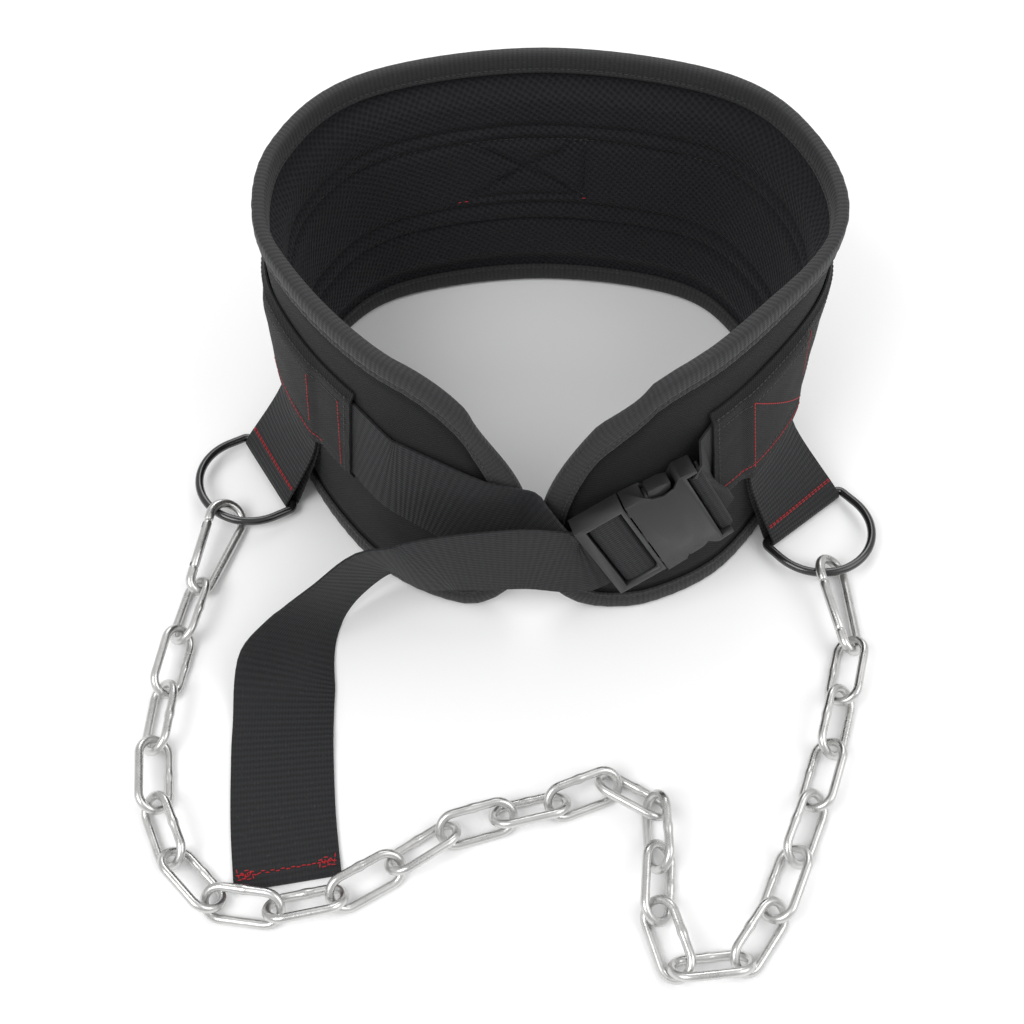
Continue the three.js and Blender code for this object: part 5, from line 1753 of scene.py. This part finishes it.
@dataclass
class RedStitching:
    """The red rows on the band, the tabs and the strap's end."""

    finishes: Finishes
    sewing: Sewing
    band: Band
    strap: Strap
    end_row: float = 7.0
    end_knot: tuple[float, float] = (0.62, 0.92)
    knot_height: float = 63.5
    knot_depth: float = 9.6
    lift: float = 0.12

    def on_band(self) -> list[np.ndarray]:
        """Lines over the band's face.

        Returns:
            The lines.
        """
        paths = []
        for x0, y0, x1, y1 in (*LEFT_RED_LINES, *RIGHT_RED_LINES):
            share = np.linspace(0, 1, 24)
            paths.append(self.band.surface(x0 + (x1 - x0) * share, y0 + (y1 - y0) * share, 0.05))
        return paths

    def hems(self) -> list[np.ndarray]:
        """Two rows along each edge of the band, and one across each of its ends.

        Returns:
            The rows.
        """
        inset = self.band.sewn_rows[0]
        start, end = self.band.start + inset, self.band.wall.girth - self.band.end_from_tip - inset
        along = np.linspace(start, end, 220)
        half = self.band.width / 2
        rows = [self.band.surface(along, np.full(220, self.band.middle + side * (half - row)), -0.1)
                for side in (-1, 1) for row in self.band.sewn_rows]
        up = np.linspace(self.band.middle - half + inset, self.band.middle + half - inset, 20)
        return [*rows, *(self.band.surface(np.full(20, place), up, 0.0) for place in (start, end))]

    def at_hem(self) -> list[np.ndarray]:
        """The uneven row across the strap's free end.

        Returns:
            The rows, on both faces.
        """
        share = np.linspace(-0.9, 0.9, 40)
        wave = self.end_row + 1.1 * np.sin(share * 31.0) * (0.35 + 0.65 * (share > 0.35))
        knot = np.linspace(*self.end_knot, 16)
        rows = []
        for lift in (self.lift, -STRAP_THICKNESS - self.lift):
            rows.append(self.strap.surface(wave, share, lift))
            for side in (1, -1):
                rows.append(self.strap.surface(self.end_row + 2.4 * np.sin(knot * 70), knot * side, lift))
        return rows

    def build(self, tacks: list[np.ndarray]) -> None:
        """Sews everything that is red.

        Args:
            tacks: Paths of the tabs' bar tacks.
        """
        knots = [self.inside_knot(BACK_BOX[0] - 5), self.inside_knot(BACK_BOX[1] + 1)]
        paths = [*self.on_band(), *self.at_hem(), *tacks, *knots]
        piece = self.sewing.sew("red_stitching", paths, RED_STITCH, self.finishes.red)
        settle(piece, ROOT, "webbing")
        rows = self.sewing.sew("band_stitching", self.hems(), BAND_STITCH, self.finishes.black_thread)
        settle(rows, ROOT, "webbing")

    def inside_knot(self, along: float) -> np.ndarray:
        """A short tack on the lining beside the sewn box."""
        return self.band.wall.point(np.linspace(along, along + 4, 5), np.full(5, self.knot_height), -self.knot_depth)


# Set


# Soft lights: name, place, side in metres and power in watts.
LAMPS = (
    ("key", (-0.9, -0.7, 1.5), 1.0, 15.5), ("fill", (1.2, -0.3, 1.3), 1.2, 9.6), ("back", (0.1, 1.4, 1.2), 1.0, 9.5),
)


@dataclass
class Studio:
    """Floor, lights and camera."""

    eye: tuple[float, float, float] = (-0.00633, -0.34755, 0.600)
    pitch: float = 58.0
    lens: float = 45.35
    world_strength: float = 0.66
    floor_half: float = 4.0
    floor_height: float = -0.0006

    def floor(self) -> None:
        """A pale floor."""
        mesh = bpy.data.meshes.new("floor")
        half, height = self.floor_half, self.floor_height
        corners = [(-half, -half, height), (half, -half, height), (half, half, height), (-half, half, height)]
        mesh.from_pydata(corners, [], [(0, 1, 2, 3)])
        material, _, shader = start_material("pale floor")
        shader.inputs["Base Color"].default_value = (0.93, 0.93, 0.93, 1)
        shader.inputs["Roughness"].default_value = 0.9
        shader.inputs["Specular IOR Level"].default_value = 0.1
        finished_object("floor", mesh, material)

    def lamp(self, name: str, place: tuple[float, float, float], size: float, power: float) -> None:
        """A soft square light that faces the belt.

        Args:
            name: Its name.
            place: Where it hangs.
            size: Its side in metres.
            power: Its power in watts.
        """
        light = bpy.data.lights.new(name, "AREA")
        light.size, light.energy = size, power
        made = bpy.data.objects.new(name, light)
        made.location = place
        made.rotation_euler = (Vector((0, 0, 0.05)) - Vector(place)).to_track_quat("-Z", "Y").to_euler()
        bpy.context.scene.collection.objects.link(made)

    def build(self) -> None:
        """Makes the set."""
        self.floor()
        world = bpy.data.worlds.new("studio")
        world.use_nodes = True
        world.node_tree.nodes["Background"].inputs["Color"].default_value = (1, 1, 1, 1)
        world.node_tree.nodes["Background"].inputs["Strength"].default_value = self.world_strength
        bpy.context.scene.world = world
        for name, place, size, power in LAMPS:
            self.lamp(name, place, size, power)
        camera = bpy.data.cameras.new("camera")
        camera.lens, camera.sensor_width = self.lens, SENSOR_WIDTH
        made = bpy.data.objects.new("camera", camera)
        made.location = self.eye
        made.rotation_euler = (math.radians(90 - self.pitch), 0, 0)
        bpy.context.scene.collection.objects.link(made)
        bpy.context.scene.camera = made
        bpy.context.scene.view_settings.view_transform = "Standard"


# Frames of the rings and hooks as the CAD source works them out: origin, x axis and y axis.
RING_LEFT = Frame.matrix((-148.289, -32.981, 4.25), (-0.53151, 0.84705, 0.0), (-0.84086, -0.52763, 0.12068))
RING_RIGHT = Frame.matrix((142.304, -62.089, 4.25), (-0.78523, -0.61921, 0.0), (0.61502, -0.77992, 0.11607))
HOOK_LEFT = Frame.matrix((-166.079, -55.992, 8.751), (-0.24181, -0.96986, -0.03006), (-0.76908, 0.17268, 0.61538))
HOOK_RIGHT = Frame.matrix((151.549, -89.619, 8.751), (0.12181, -0.99210, -0.03006), (-0.77988, -0.11441, 0.61538))


def main() -> None:
    """Builds the belt, class by class."""
    Studio().build()
    finishes, sewing, wall = Finishes(), Sewing(), Wall()
    LOG.info("girth %.1f mm", wall.girth)
    PaddedBelt(finishes, sewing, Outline(wall)).build()
    band = Band(finishes, wall)
    band.build()
    Buckle(finishes).build()
    strap = WaistStraps(finishes, wall, BuckleFrame(), band).build()
    tacks = []
    for side, middle, turned in (("left", band.tabs[0], RING_LEFT), ("right", wall.girth - band.tabs[1], RING_RIGHT)):
        tacks += RingTab(side, middle, turned, wall, finishes).build()
        DRing(side, turned, finishes).build()
    for side, turned in (("left", HOOK_LEFT), ("right", HOOK_RIGHT)):
        SnapHook(side, turned, finishes).build()
    Chain(finishes).build()
    RedStitching(finishes, sewing, band, strap).build(tacks)


if __name__ == "__main__":
    main()
